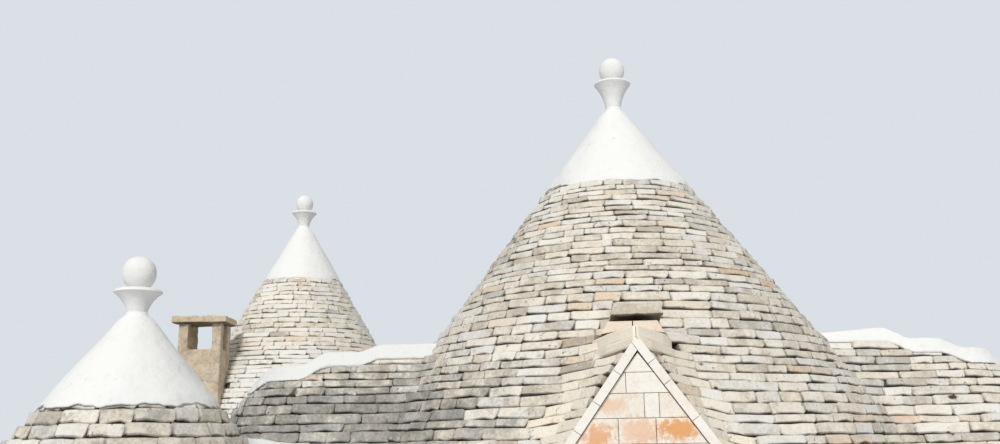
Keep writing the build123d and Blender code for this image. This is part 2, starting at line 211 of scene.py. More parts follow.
left_wave = underside("left_coping")
right_wave = underside("right_coping")


def shoulder_top(x):
    """Height at which a shoulder ends under its coping."""
    wave = left_wave if x < 0 else right_wave
    return float(np.interp(x, wave[0], wave[1]))


def shoulder_half(height):
    return shoulder_foot - (height - main_cone.foot) / shoulder_rise


def slot_reach(bearing, half):
    """Distance from the main axis to the side of a slot along the shoulders, of a half width."""
    c, s = cos(bearing), sin(bearing)
    if abs(s) > 1e-6 and shoulder_left <= half * c / abs(s) <= shoulder_right:
        return half / abs(s)
    end = shoulder_right if c > 0 else shoulder_left
    return end * c + sqrt(max(half**2 - (end * s) ** 2, 0.0))


def slot_radius(bearing, height, under=0.01):
    """Distance from the main axis to the shoulders' side, up to the underside of the copings."""
    half = shoulder_half(height)
    if half <= 0:
        return 0.0
    reach = slot_reach(bearing, half)
    return reach if height < shoulder_top(reach * cos(bearing)) + under else 0.0


def to_door(x, y):
    """Across and along the doorway's axis, of a spot in the frame of the house."""
    return x * cos(door_turned) + y * sin(door_turned), -x * sin(door_turned) + y * cos(door_turned)


def on_door(x, y, z):
    """A spot given across, along and above the doorway, in the frame of the house."""
    return x * cos(door_turned) - y * sin(door_turned), x * sin(door_turned) + y * cos(door_turned), z


def door_turn(bearing):
    """Turn of a bearing from the doorway's axis, without its sign."""
    return abs((bearing - door_bearing + pi) % (2 * pi) - pi)


def porch_side(height, foot_bearing, front=gable_front, half_width=None, points=9):
    """One side of the porch roof in plan, from its front corner to the cone, at a height."""
    if half_width is None:
        half_width = max((rake_peak - height) / gable_rise, 0.01)
    radius = cone_radius(main_cone, height) - porch_bite
    corner = np.array([half_width, -front])
    foot = np.array([radius * sin(radians(foot_bearing)), -radius * cos(radians(foot_bearing))])
    run = foot - corner
    dent = np.array([-run[1], run[0]]) * porch_hollow
    share = np.linspace(0, 1, points)[:, None]
    return corner + run * share + dent * 4 * share * (1 - share)


seat_height = corners("porch_roof")[1][2]
porch_levels = [
    (gable_foot, porch_side(gable_foot, 17.5)),
    (knee_height, porch_side(knee_height, 17.5)),
    (brow_height, porch_side(brow_height, 12.5)),
    (seat_height, porch_side(seat_height, 10.5, seat_front, seat_half_width)),
]


def porch_outline(height):
    """Points of the porch roof's side at a height, or None above and below it."""
    for (low, below), (high, above) in zip(porch_levels, porch_levels[1:]):
        if low <= height <= high:
            share = (height - low) / (high - low)
            return below * (1 - share) + above * share
    return None


def porch_reach(turn, height):
    """Distance from the main axis to the porch roof, at a turn from the doorway's axis."""
    side = porch_outline(height)
    if side is None:
        return 0.0
    angles = np.arctan2(side[:, 0], -side[:, 1])
    distances = np.hypot(side[:, 0], side[:, 1])
    if turn < angles[0]:
        return distances[0] * cos(angles[0]) / cos(turn)
    return float(np.interp(turn, angles, distances)) if turn < angles[-1] else 0.0


def smooth_max(first, second, reach):
    """The larger of two distances, rounded where they are alike."""
    share = between(first - second, -reach, reach)
    return second + (first - second) * share + reach * share * (1 - share)


def main_radius(bearing, height):
    """Distance from the main axis to the outside of the stonework."""
    reach = cone_radius(main_cone, height)
    slot = slot_radius(bearing, height)
    if slot > 0:
        below = shoulder_top(slot * cos(bearing)) - height
        reach = smooth_max(reach, slot, shoulder_blend * min(max(below / blend_fade, 0.05), 1.0))
    turn = door_turn(bearing)
    if turn < porch_foot_turn:
        porch = porch_reach(turn, height)
        if porch > 0:
            reach = smooth_max(reach, porch, porch_blend)
        rise = between(height, swell_low, swell_high) * between(height, seat_height, seat_height - 0.05)
        reach += hip_swell * rise * exp(-(((turn - hip_turn) / hip_width) ** 2))
    return reach


Stone = namedtuple("Stone", "place size turn tone patina warm lime shape")


def courses(low, high, thick_low, thick_high):
    """The foot and top of each bed of a roof, thinner towards the top."""
    heights = [low]
    while heights[-1] < high:
        share = (heights[-1] - low) / (high - low)
        thick = thick_low + (thick_high - thick_low) * share
        heights.append(heights[-1] + thick * rng.uniform(0.80, 1.20))
    return list(zip(heights, heights[1:]))


def longest_on(radius, share=0.30):
    """The longest stone that a round bed takes."""
    return min(stone_long, 0.12 + radius * share)


def waver(x, y, z, amount=0.011):
    """Gentle rise and fall of the beds along their length."""
    return amount * noise.noise(Vector((x * 0.9, y * 0.9, z * 1.7)))


def stone_ends(path, longest):
    """Cut a bed into stones: their ends, their middles on the path, and how far it bends in at each."""
    along = np.concatenate([[0], np.cumsum(np.hypot(*np.diff(path[:, :2], axis=0).T))])
    total = along[-1]
    if total < stone_short * 0.5:
        return [], [], []
    lengths = []
    while sum(lengths) < total:
        lengths.append(stone_short + (longest - stone_short) * rng.beta(1.5, 2.1))
    lengths = np.array(lengths) * total / sum(lengths)
    cuts = np.concatenate([[0], np.cumsum(lengths)])
    ends, middles = (
        np.column_stack([np.interp(at, along, path[:, axis]) for axis in range(3)])
        for at in (cuts, cuts[:-1] + lengths / 2)
    )
    chords = np.diff(ends, axis=0)
    yaw = np.unwrap(np.arctan2(chords[:, 1], chords[:, 0]))
    bend = np.maximum(-np.diff(yaw, prepend=yaw[0]), 0) + np.maximum(-np.diff(yaw, append=yaw[-1]), 0)
    return ends, middles, bend


def lay(path, closed, thick, lean, looks, longest=stone_long, depth=stone_depth, gap=joint, coated=None):
    """Set stones end to end along a bed, each turned square to it and leaned back."""
    if closed:
        path = np.roll(path, int(rng.integers(0, len(path))), axis=0)
        path = np.vstack([path, path[:1]])
    ends, middles, bend = stone_ends(path, longest)
    stones = []
    for start, end, middle, hollow in zip(ends, ends[1:], middles, bend):
        chord = end - start
        reach = float(hypot(chord[0], chord[1]))
        if reach < 0.03:
            continue
        way = chord[:2] / reach
        outward = np.array([way[1], -way[0]])
        middle = (start + end) / 2 * (1 - arc_share) + middle * arc_share
        height = middle[2] + waver(*middle) + rng.normal(0, stray_height)
        angle = lean(middle[:2], outward, height)
        stand = stone_stand + rng.normal(0, stray_stand)
        if coated and coated(middle[0], middle[1], height):
            angle, stand = angle / lean_share, stone_stand - cap_sink
        place = (middle[0] + outward[0] * stand, middle[1] + outward[1] * stand, height)
        size = (
            reach - gap * rng.uniform(*end_gap_spread) + hollow_overlap * min(hollow, 0.5),
            porch_stone_depth if by_gable(*place) else depth,
            thick * rng.uniform(*thick_spread) / cos(angle) - gap * rng.uniform(*bed_gap_spread),
        )
        turn = np.array((-angle, -atan2(chord[2], reach), atan2(way[1], way[0]))) + rng.normal(0, stray_turn)
        look = looks(place)
        if look is not None:
            stones.append(Stone(place, size, turn, *look, int(rng.integers(0, stone_kinds))))
    return stones


def by_gable(x, y, z):
    across, along = to_door(x, y)
    return abs(across) < 0.75 and along < -gable_front + 0.5 and z < seat_height


def tone_of(patina, lime=0.0, paler=0.0, greys=True):
    """Random tone of one stone, its dark growth, its warmth from grey to rust, and its lime."""
    tone = float(np.clip(rng.normal(0.55 + paler, 0.24), 0, 1.1))
    warm = float(rng.uniform(-1 if greys else 0, 1))
    growth = float(np.clip(patina + rng.normal(0, 0.06), 0, 1))
    return tone, growth, warm, float(np.clip(lime, 0, 1))


def round_path(bearings, reach, x=0.0, y=0.0):
    """Spots in plan round an axis, each at its bearing and distance."""
    return np.column_stack([x + reach * np.cos(bearings), y + reach * np.sin(bearings)])


def at_height(path, height):
    return np.column_stack([path, np.full(len(path), height)])


def full_turn(points):
    return np.linspace(0, 2 * pi, points, endpoint=False)


# The passage roof between the main and the rear cone
link_end = np.array([rear_cone.x, rear_cone.y])
link_length = float(np.hypot(*link_end))
link_way = link_end / link_length
link_side = np.array([-link_way[1], link_way[0]])
link_top = corners("passage_roof")[1][2]
link_half_width = 1.0


def link_half(height):
    return link_half_width - (height - gable_foot) / shoulder_rise


def in_link(x, y, z, margin=0.1):
    """Whether a spot is buried in the passage roof."""
    along = x * link_way[0] + y * link_way[1]
    aside = abs(x * link_side[0] + y * link_side[1])
    return 0 < along < link_length and z < link_top - 0.03 and aside < link_half(z) - margin


def in_cone(cone, x, y, z, margin=0.06):
    return cone.foot < z < cone.top and hypot(x - cone.x, y - cone.y) < cone_radius(cone, z) - margin


def in_main(x, y, z, margin=0.06):
    reach = max(cone_radius(main_cone, z), slot_radius(atan2(y, x), z))
    return z < main_cone.top and hypot(x, y) < reach - margin


chimney_low, chimney_high = corners("chimney_stack")


def in_chimney(x, y, z, around=0.05):
    low, high = chimney_low + around, chimney_high - around
    return low[0] < x < high[0] and low[1] < y < high[1] and z < high[2]


def main_patina(x, y, z):
    """The dark growth is thick on the left shoulder and low on the left of the main cone."""
    left = between(x, -0.4, -1.8) * between(z, 3.65, 2.95)
    return 0.22 + 0.68 * left * between(y, 0.6, -0.6) + 0.14 * between(z, 2.75, 2.25)


def main_coated(x, y, z):
    """Whether a stone lies under the lime of the cap or of a coping."""
    if abs(x) > shoulder_from and hypot(x, y) > cone_radius(main_cone, z) + 0.02:
        return z > shoulder_top(x) - 0.055
    return z > main_cone.top - 0.05


def main_lime(x, y, z):
    """Lime that ran down from the cap and the copings, and a splash behind the left one."""
    lime = between(z, main_cone.top - 0.12, main_cone.top + 0.02) * rng.uniform(0.4, 1.0)
    if abs(x) > 1.5:
        lime = max(lime, between(z, shoulder_top(x) - 0.11, shoulder_top(x)) * rng.uniform(0.1, 0.9))
    splash = 165 < degrees(atan2(y, x)) % 360 < 184 and 3.38 < z < 3.72
    return 1.0 if splash else lime


def main_looks(place):
    x, y, z = place
    if in_link(x, y, z) or in_cone(annex_cone, x, y, z) or z < main_cone.foot + 0.02:
        return None
    beyond = hypot(x, y) - cone_radius(main_cone, z)
    if abs(x) > shoulder_from and beyond > clear_of_cone and z > shoulder_top(x) + 0.005:
        return None
    across, along = to_door(x, y)
    if abs(across) < head_half and along < head_back and head_low < z < seat_height + 0.02:
        return None
    pale_within = np.interp(z, (2.5, seat_height), (radians(18.5), radians(9))) + rng.normal(0, radians(0.8))
    if door_turn(atan2(y, x)) < pale_within and z < seat_height + 0.03:
        return tone_of(0.02, 0.0, 0.3, greys=False)
    return tone_of(main_patina(x, y, z), main_lime(x, y, z))


def main_lean(middle, outward, level, step=0.05):
    """Lean of a stone, from the slope of the surface behind it."""
    bearing = atan2(middle[1], middle[0])
    if brow_height - 0.03 < level < seat_height and door_turn(bearing) < porch_foot_turn:
        return head_lean
    here, above = main_radius(bearing, level), main_radius(bearing, level + step)
    across = outward @ (middle / max(hypot(*middle), 1e-6))
    return float(np.clip(atan((here - above) * across / step), 0.1, 0.75)) * lean_share


def unbroken(path, jump=0.12):
    """Parts of a path between the places where it leaps from one surface to another."""
    reach = np.hypot(path[:, 0], path[:, 1])
    cuts = np.flatnonzero(np.abs(np.diff(reach)) > jump) + 1
    return np.split(path, cuts)


def porch_bed(base, ring):
    """Turns from the doorway's axis at which a bed is measured, and how high it stands at each."""
    lift = float(np.interp(base, [2.6, brow_height], [0.055, 0.02]))
    side = porch_outline(base + lift)
    if side is None:
        return ring, np.full(len(ring), base)
    first = 0.0
    if base + lift < brow_height:
        behind_rake = gable_front - rake_face - 0.012
        first = atan2(float(np.interp(-behind_rake, side[:, 1], side[:, 0])), behind_rake)
    kept = ring[(ring > first + 0.01) & (ring < 2 * pi - first - 0.01)]
    turns = np.concatenate([[first], kept, [2 * pi - first]])
    aside = np.minimum(turns, 2 * pi - turns)
    share = np.clip((porch_foot_turn - aside) / (porch_foot_turn - first), 0, 1)
    return turns, base + lift * share * share * (3 - 2 * share)


def lay_main():
    """Beds that run round the main cone, its shoulders and the porch roof."""
    stones = []
    ring = full_turn(600)
    low, high = main_cone.foot - course_low, main_cone.top + main_overlap
    for bottom, top in courses(low, high, course_low, course_high):
        turns, levels = porch_bed((bottom + top) / 2, ring)
        bearings = turns + door_bearing
        reach = np.array([main_radius(*spot) for spot in zip(bearings, levels)])
        longest = longest_on(reach.mean(), 0.28)
        parts = unbroken(at_height(round_path(bearings, reach), levels))
        for part in parts:
            closed = len(parts) == 1 and len(turns) == len(ring)
            stones += lay(part, closed, top - bottom, main_lean, main_looks, longest, coated=main_coated)
    return stones


def stands_on(stone):
    """The node that a stone of the main roofs belongs to."""
    x, y, z = stone.place
    if z > main_cone.top or hypot(x, y) < cone_radius(main_cone, z) + 0.02:
        return "main_roof"
    if door_turn(atan2(y, x)) < porch_foot_turn:
        return "porch_roof"
    return "left_shoulder" if x < 0 else "right_shoulder"


def rear_looks(place):
    x, y, z = place
    if in_link(x, y, z) or in_chimney(x, y, z) or in_main(x, y, z):
        return None
    lime = between(z, rear_cone.top - 0.08, rear_cone.top + 0.06) * rng.uniform(0.2, 1.0)
    lime = max(lime, between(z, 3.95, 3.65) * rng.uniform(0.45, 0.95))
    return tone_of(0.05 + 0.15 * between(z, 2.8, 2.2), lime, 0.12)


def annex_looks(place):
    x, y, z = place
    if in_main(x, y, z):
        return None
    return tone_of(0.5, between(z, annex_cone.top - 0.07, annex_cone.top + 0.05) * rng.uniform(0.1, 0.9))


def lay_cone(cone, looks, thick_low, thick_high, overlap, longer=1.0, gap=joint):
    """Beds that run round a free-standing cone, leaned less than it is, so that they step in."""
    stones = []
    angle = atan(1 / cone.rise) * lean_share
    for bottom, top in courses(cone.foot, cone.top + overlap, thick_low, thick_high):
        middle = (bottom + top) / 2
        path = at_height(round_path(full_turn(120), cone_radius(cone, middle), cone.x, cone.y), middle)
        longest = longest_on(cone_radius(cone, top)) * longer
        stones += lay(
            path, True, top - bottom, lambda *spot: angle, looks, longest, gap=gap,
            coated=lambda *spot: spot[2] > cone.top - 0.04,
        )
    return stones


def link_looks(place):
    x, y, z = place
    if in_main(x, y, z, 0.03) or in_cone(rear_cone, x, y, z, 0.03):
        return None
    return tone_of(0.2)


def lay_link():
    """Straight beds on both slopes of the passage roof."""
    stones = []
    angle = atan(1 / shoulder_rise) * lean_share
    for bottom, top in courses(gable_foot, link_top - 0.02, course_low, course_low):
        base = (bottom + top) / 2
        for side, run in ((1, (link_end, (0, 0))), (-1, ((0, 0), link_end))):
            path = at_height(np.array(run, float) + link_side * side * link_half(base), base)
            stones += lay(path, False, top - bottom, lambda *spot: angle, link_looks)
    return stones


def eaves_slabs(path, low, high):
    """Wide slabs that project at the head of a wall."""
    level = at_height(path, (low + high) / 2)
    return lay(level, True, high - low, lambda *spot: 0.0, lambda place: tone_of(0.35), 0.62, 0.34, 0.006)


# Nodes, whose values are added and multiplied as numbers are
class Value:
    """What a socket gives, and the nodes that it belongs to."""

    def __init__(self, tree, socket):
        self.tree, self.socket = tree, socket

    def also(self, name):
        """Another output of the same node."""
        return Value(self.tree, self.socket.node.outputs[name])

    def __add__(self, other):
        return maths(self.tree, "ADD", self, other)

    def __sub__(self, other):
        return maths(self.tree, "SUBTRACT", self, other)

    def __rsub__(self, other):
        return maths(self.tree, "SUBTRACT", other, self)

    def __mul__(self, other):
        return maths(self.tree, "MULTIPLY", self, other)


def add_node(tree, kind, links=(), out=0, **settings):
    """Add a node, set its properties, link or fill its inputs, and give one of its outputs."""
    made = tree.nodes.new(kind)
    for name, value in settings.items():
        setattr(made, name, value)
    for key, value in dict(links).items():
        if isinstance(value, Value):
            tree.links.new(value.socket, made.inputs[key])
        else:
            made.inputs[key].default_value = value
    return Value(tree, made.outputs[out])


def maths(tree, operation, first, second=0.0):
    return add_node(tree, "ShaderNodeMath", {0: first, 1: second}, operation=operation)


def ramp(value, low, high, kind="SMOOTHSTEP"):
    """Share of the way from one value to another, held between nought and one."""
    links = {"Value": value, "From Min": low, "From Max": high}
    return add_node(value.tree, "ShaderNodeMapRange", links, interpolation_type=kind)


def blend(share, first, second):
    return add_node(share.tree, "ShaderNodeMix", {0: share, 6: first, 7: second}, 2, data_type="RGBA")


def clouds(place, scale, detail=4.0, rough=0.55):
    links = {"Vector": place, "Scale": scale, "Detail": detail, "Roughness": rough}
    return add_node(place.tree, "ShaderNodeTexNoise", links)


def add_inputs(tree, inputs):
    """Give a node group its named inputs, each with its kind and default."""
    for label, kind, default in inputs:
        socket = tree.interface.new_socket(label, in_out="INPUT", socket_type="NodeSocket" + kind)
        if default is not None:
            socket.default_value = default
    return [Value(tree, socket) for socket in tree.nodes.new("NodeGroupInput").outputs[:-1]]


def begin_group(name, **inputs):
    """A shader node group, the place on the object that it is laid by, and its other inputs."""
    tree = bpy.data.node_groups.new(name, "ShaderNodeTree")
    kinds = {1: "Float", 3: "Vector", 4: "Color"}
    rows = [(label, kinds[np.size(default)], default) for label, default in inputs.items()]
    return tree, *add_inputs(tree, [("Place", "Vector", None), *rows])


def end_group(tree, **results):
    for label, value in results.items():
        kind = "NodeSocketColor" if value.socket.type == "RGBA" else "NodeSocketFloat"
        tree.interface.new_socket(label, in_out="OUTPUT", socket_type=kind)
    end = tree.nodes.new("NodeGroupOutput")
    for label, value in results.items():
        tree.links.new(value.socket, end.inputs[label])
    return tree


def place_group(kind, place, **links):
    return add_node(place.tree, "ShaderNodeGroup", {"Place": place, **links}, node_tree=kind)


def make_limestone_tone():
    """Weathered limestone: a tone for each stone, mottling, rust colour and run-down lime."""
    tree, place, own_tone, warmth, lime, dark, middle, pale = begin_group(
        "limestone_tone", Tone=0.5, Warmth=0.0, Lime=0.0,
        Dark=(0.54, 0.485, 0.405, 1), Middle=(0.76, 0.69, 0.585, 1), Pale=(0.88, 0.835, 0.75, 1),
    )
    mottle = clouds(place, 7.0, 5.0, 0.6)
    speckle = clouds(place, 45.0, 3.0, 0.6)
    tone = own_tone + (mottle - 0.5) * 2.0 + (speckle - 0.5) * 1.2
    low = blend(ramp(tone, 0.0, 0.5, "LINEAR"), dark, middle)
    base = blend(ramp(tone, 0.45, 1.0, "LINEAR"), low, pale)
    grey = add_node(tree, "ShaderNodeHueSaturation", {"Saturation": 0.45, "Value": 0.93, "Color": base})
    patchy = ramp(warmth, 0.0, -0.6) * ramp(mottle, 0.30, 0.55)
    cooled = blend(patchy * 0.8, base, grey)
    rusty = ramp(warmth, 0.88, 1.0) * ramp(mottle, 0.35, 0.6)
    warm = blend(rusty * 0.55, cooled, (0.70, 0.42, 0.20, 1))
    wash = lime * ramp(clouds(place, 16.0, 4.0), 0.30, 0.55)
    return end_group(tree, Colour=blend(wash, warm, (0.88, 0.87, 0.84, 1)))


def make_dark_growth():
    """Lichen and black patina in patches, thicker where the amount says."""
    tree, place, bare, amount = begin_group("dark_growth", Colour=(1, 1, 1, 1), Amount=0.3)
    grit = clouds(place, 38.0, 4.0, 0.7)
    both = clouds(place, 5.5, 6.0, 0.7) * 0.65 + grit * 0.35
    start = 0.66 - amount * 0.38
    grey = blend(ramp(grit, 0.3, 0.7), (0.06, 0.06, 0.06, 1), (0.33, 0.325, 0.31, 1))
    return end_group(tree, Colour=blend(ramp(both, start, start + 0.22) * 0.75, bare, grey))


def make_rough_face():
    """Pits, pocks and grain of a stone or plaster face, as a height."""
    tree, place, size, share = begin_group("rough_face", Size=30.0, Pits=0.5)
    grain = clouds(place, size, 6.0, 0.65)
    holes = clouds(place, size * 1.1, 3.0, 0.6)
    where = ramp(clouds(place, size * 0.25, 2.0), 0.50, 0.62)
    pits = ramp(holes, 0.62, 0.70) * where * share
    return end_group(tree, Height=grain - pits, Pits=pits)


def make_stain():
    """A soft patch round a spot, broken up at its rim."""
    tree, place, centre, reach, strength = begin_group(
        "stain", Centre=(0, 0, 0), Reach=(0.1, 0.1, 0.1), Strength=1.0
    )
    away = add_node(tree, "ShaderNodeVectorMath", {0: place, 1: centre}, operation="SUBTRACT")
    scaled = add_node(tree, "ShaderNodeVectorMath", {0: away, 1: reach}, operation="DIVIDE")
    length = add_node(tree, "ShaderNodeVectorMath", {0: scaled}, "Value", operation="LENGTH")
    broken = length + clouds(place, 34.0, 6.0, 0.75) * 2.6
    return end_group(tree, Mask=(1.0 - ramp(broken, 1.75, 2.45)) * strength)


limestone_tone = make_limestone_tone()
dark_growth = make_dark_growth()
rough_face = make_rough_face()
stain = make_stain()

# Rust-coloured stains of the gable, and dark knots and holes in the roof stones:
# each with its spot, half width, half height, strength and colour
rust, knot, brown = (0.80, 0.40, 0.17, 1), (0.075, 0.05, 0.035, 1), (0.27, 0.15, 0.075, 1)
gable_stains = [
    (on_door(x, -tympanum_face, z), *extent, rust)
    for x, z, *extent in (
        (-0.17, 2.81, 0.11, 0.06, 0.45), (-0.265, 2.63, 0.10, 0.085, 0.85),
        (-0.01, 2.65, 0.15, 0.11, 0.55), (0.235, 2.66, 0.15, 0.08, 1.0),
    )
]
knots = [
    ((2.483, -0.847, 2.894), 0.040, 0.024, 1.0, knot), ((2.351, -1.044, 2.617), 0.026, 0.022, 1.0, knot),
    ((-0.084, -2.406, 3.134), 0.034, 0.024, 1.0, brown), ((0.300, -1.881, 3.106), 0.024, 0.014, 1.0, knot),
    ((0.381, -1.995, 2.935), 0.022, 0.013, 1.0, knot),
]


def spots(place, colour_now, marks):
    """Lay marks over a colour."""
    for centre, width, tall, strength, mark in marks:
        reach = (width, 2 * width, tall)
        patch = place_group(stain, place, Centre=centre, Reach=reach, Strength=strength)
        colour_now = blend(patch, colour_now, mark)
    return colour_now


def begin_material(name, roughness, specular=0.3):
    """A material, and the place on the object that its pattern is laid by."""
    material = bpy.data.materials.new(name)
    material.use_nodes = True
    shader = material.node_tree.nodes["Principled BSDF"]
    shader.inputs["Roughness"].default_value = roughness
    shader.inputs["Specular IOR Level"].default_value = specular
    return material, add_node(material.node_tree, "ShaderNodeTexCoord", out="Object")


def end_material(material, colour_now, height, depth, strength):
    """Colour a material, and raise its relief."""
    tree = material.node_tree
    shader = tree.nodes["Principled BSDF"]
    relief = add_node(tree, "ShaderNodeBump", {"Height": height, "Distance": depth, "Strength": strength})
    tree.links.new(colour_now.socket, shader.inputs["Base Color"])
    tree.links.new(relief.socket, shader.inputs["Normal"])
    return material


def own(place, name):
    """A value that each stone carries."""
    return add_node(place.tree, "ShaderNodeAttribute", out="Fac", attribute_name=name)


def pitted(place, colour_now, size, pits, share, pit_colour):
    """A colour with dark pits, and the height of the face that they are in."""
    face = place_group(rough_face, place, Size=size, Pits=pits)
    return blend(face.also("Pits") * share, colour_now, pit_colour), face


def stone_material(name, tones=(), growth_share=1.0, edge_shade=0.8):
    """Roof slabs, each with its own tone and growth, and painted shade towards their lower edges and in
    their joints.
    """
    material, place = begin_material(name, 0.92, 0.2)
    carried = {"Tone": own(place, "tone"), "Warmth": own(place, "warm"), "Lime": own(place, "lime")}
    base = place_group(limestone_tone, place, **carried, **dict(tones))
    grown = place_group(dark_growth, place, Colour=base, Amount=own(place, "patina") * growth_share)
    worn, height = pitted(place, grown, 34.0, 0.7, 0.75, (0.10, 0.085, 0.07, 1))
    # Painted shade: darkened by the share that each stone carries, most along its lower edge and its sides,
    # as if shaded under the stone above and in the joints.
    edge_shaded = blend(own(place, "edge") * edge_shade, worn, (0.09, 0.075, 0.06, 1))
    return end_material(material, spots(place, edge_shaded, knots), height, 0.012, 0.8)


def plain_stone(name, tone, growth, tones, pit_size=30.0):
    """Stone that is one piece, such as a lintel, a post or a shelf, with painted shade on its faces that
    look down.
    """
    material, place = begin_material(name, 0.9, 0.2)
    base = place_group(limestone_tone, place, Tone=tone, **tones)
    grown = place_group(dark_growth, place, Colour=base, Amount=growth)
    worn, height = pitted(place, grown, pit_size, 0.8, 0.7, (0.14, 0.12, 0.10, 1))
    # Painted shade: faces that look downwards are darkened to a dark brown.
    normal = add_node(place.tree, "ShaderNodeNewGeometry", out="Normal")
    under = ramp(add_node(place.tree, "ShaderNodeSeparateXYZ", {0: normal}, "Z"), -0.3, -0.8) * 0.8
    return end_material(material, blend(under, worn, (0.12, 0.09, 0.055, 1)), height, 0.010, 0.8)


def plaster_material(name, base, grime_and_shade, grime_and_shade_amount, unevenness):
    """Lime plaster or wash: pale, softly uneven, with faint grey and ochre weather marks, and blue-grey
    patches of painted shade where the marks are strong.
    """
    material, place = begin_material(name, 0.88, 0.25)
    # Grey patches: weather stains, and, where strong and blue-grey as on the left coping, painted shade.
    stained = blend(ramp(clouds(place, 1.7, 6.0, 0.62), 0.48, 0.72) * grime_and_shade_amount, base, grime_and_shade)
    fine = ramp(clouds(place, 14.0, 5.0, 0.6), 0.52, 0.75)
    mottled = blend(fine * 0.15, stained, (0.60, 0.585, 0.55, 1))
    worn, height = pitted(place, mottled, 22.0, 0.35, 0.5, (0.45, 0.43, 0.40, 1))
    relief = clouds(place, 3.5, 3.0) * unevenness + height * 0.35
    return end_material(material, worn, relief, 0.02, 0.9)


def wall_material():
    """Whitewashed rubble wall, with rain-splashed dirt along its foot."""
    material, place = begin_material("limewashed_wall", 0.9, 0.25)
    tree = place.tree
    stretch = add_node(tree, "ShaderNodeMapping", {"Vector": place, "Scale": (1.0, 1.0, 1.7)})
    links = {"Vector": stretch, "Scale": 3.4}
    rubble = ramp(add_node(tree, "ShaderNodeTexVoronoi", links, feature="DISTANCE_TO_EDGE"), 0.0, 0.16)
    ragged = add_node(tree, "ShaderNodeSeparateXYZ", {0: place}, "Z") + clouds(place, 2.6, 5.0) * 0.55
    splash = 1.0 - ramp(ragged, 0.22, 0.72)
    patches = ramp(clouds(place, 1.4, 6.0, 0.65), 0.5, 0.75)
    base = blend(patches * 0.4, (0.79, 0.775, 0.735, 1), (0.66, 0.63, 0.57, 1))
    seamed = blend((1.0 - rubble) * 0.22, base, (0.52, 0.49, 0.44, 1))
    dirty = blend(splash * 0.55, seamed, (0.40, 0.355, 0.28, 1))
    face = place_group(rough_face, place, Size=20.0, Pits=0.4)
    return end_material(material, dirty, rubble * 0.8 + face * 0.25, 0.03, 0.8)


def paving_material():
    """Worn stone paving, in slabs."""
    material, place = begin_material("stone_paving", 0.7, 0.35)
    links = {"Vector": place, "Scale": 1.0, "Mortar Size": 0.012, "Brick Width": 0.62, "Row Height": 0.38}
    links["Color1"] = (0.62, 0.57, 0.48, 1)
    links["Color2"] = (0.50, 0.455, 0.38, 1)
    links["Mortar"] = (0.17, 0.15, 0.12, 1)
    slabs = add_node(place.tree, "ShaderNodeTexBrick", links, offset=0.37)
    grown = place_group(dark_growth, place, Colour=slabs, Amount=0.15)
    return end_material(material, grown, 1.0 - slabs.also("Fac"), 0.008, 0.6)


def ashlar_material(name, middle, pale, marks=()):
    """Dressed blocks of the gable, cream and rose, with rust-coloured stains."""
    material, place = begin_material(name, 0.88, 0.25)
    tones = {"Dark": (0.76, 0.63, 0.50, 1), "Middle": middle, "Pale": pale}
    base = place_group(limestone_tone, place, Tone=own(place, "tone"), **tones)
    marked = spots(place, base, marks)
    worn, height = pitted(place, marked, 42.0, 0.35, 0.4, (0.30, 0.22, 0.15, 1))
    return end_material(material, worn, height, 0.006, 0.7)


pale_tones = {"Middle": (0.82, 0.75, 0.64, 1), "Pale": (0.90, 0.85, 0.76, 1)}
porch_tones = {"Middle": (0.955, 0.85, 0.70, 1), "Pale": (0.97, 0.895, 0.77, 1)}
shade_tones = {"Dark": (0.05, 0.043, 0.035, 1), "Middle": (0.08, 0.07, 0.056, 1)}
tuff_tones = {"Dark": (0.42, 0.33, 0.22, 1), "Middle": (0.60, 0.485, 0.35, 1), "Pale": (0.73, 0.63, 0.49, 1)}
rose_tones = {"Middle": (0.82, 0.69, 0.56, 1), "Pale": (0.87, 0.77, 0.65, 1)}
gable_middle, gable_pale = (0.87, 0.79, 0.685, 1), (0.935, 0.89, 0.82, 1)
roof_stone = stone_material("roof_stone")
pale_roof_stone = stone_material("pale_roof_stone", pale_tones, 0.8, 0.6)
porch_stone = stone_material("porch_stone", porch_tones, 0.4, 0.6)
joint_shade = plain_stone("bedding_in_shade", 0.0, 0.6, shade_tones)
eaves_stone = stone_material("eaves_slab", growth_share=1.1)
lime_plaster = plaster_material("lime_plaster", (0.87, 0.865, 0.85, 1), (0.66, 0.68, 0.69, 1), 0.3, 0.9)
# The weathered plaster's strong blue-grey patches are painted shade over weather stains.
weathered_and_shaded_plaster = plaster_material("weathered_and_shade_patched_plaster", (0.80, 0.80, 0.785, 1), (0.42, 0.455, 0.49, 1), 0.7, 1.0)
limewash = wall_material()
paving = paving_material()
gable_stone = ashlar_material("dressed_gable_stone", gable_middle, gable_pale)
stained_stone = ashlar_material("stained_gable_stone", gable_middle, gable_pale, gable_stains)
head_stone = ashlar_material("dressed_head_stone", (0.955, 0.845, 0.69, 1), (0.97, 0.89, 0.76, 1))
tuff = plain_stone("tuff", 0.6, 0.42, tuff_tones, 24.0)
shelf_slab = plain_stone("shelf_slab", 0.4, 0.4, {"Middle": (0.68, 0.62, 0.52, 1)})
rose_stone = plain_stone("rose_stone", 0.75, 0.02, rose_tones)


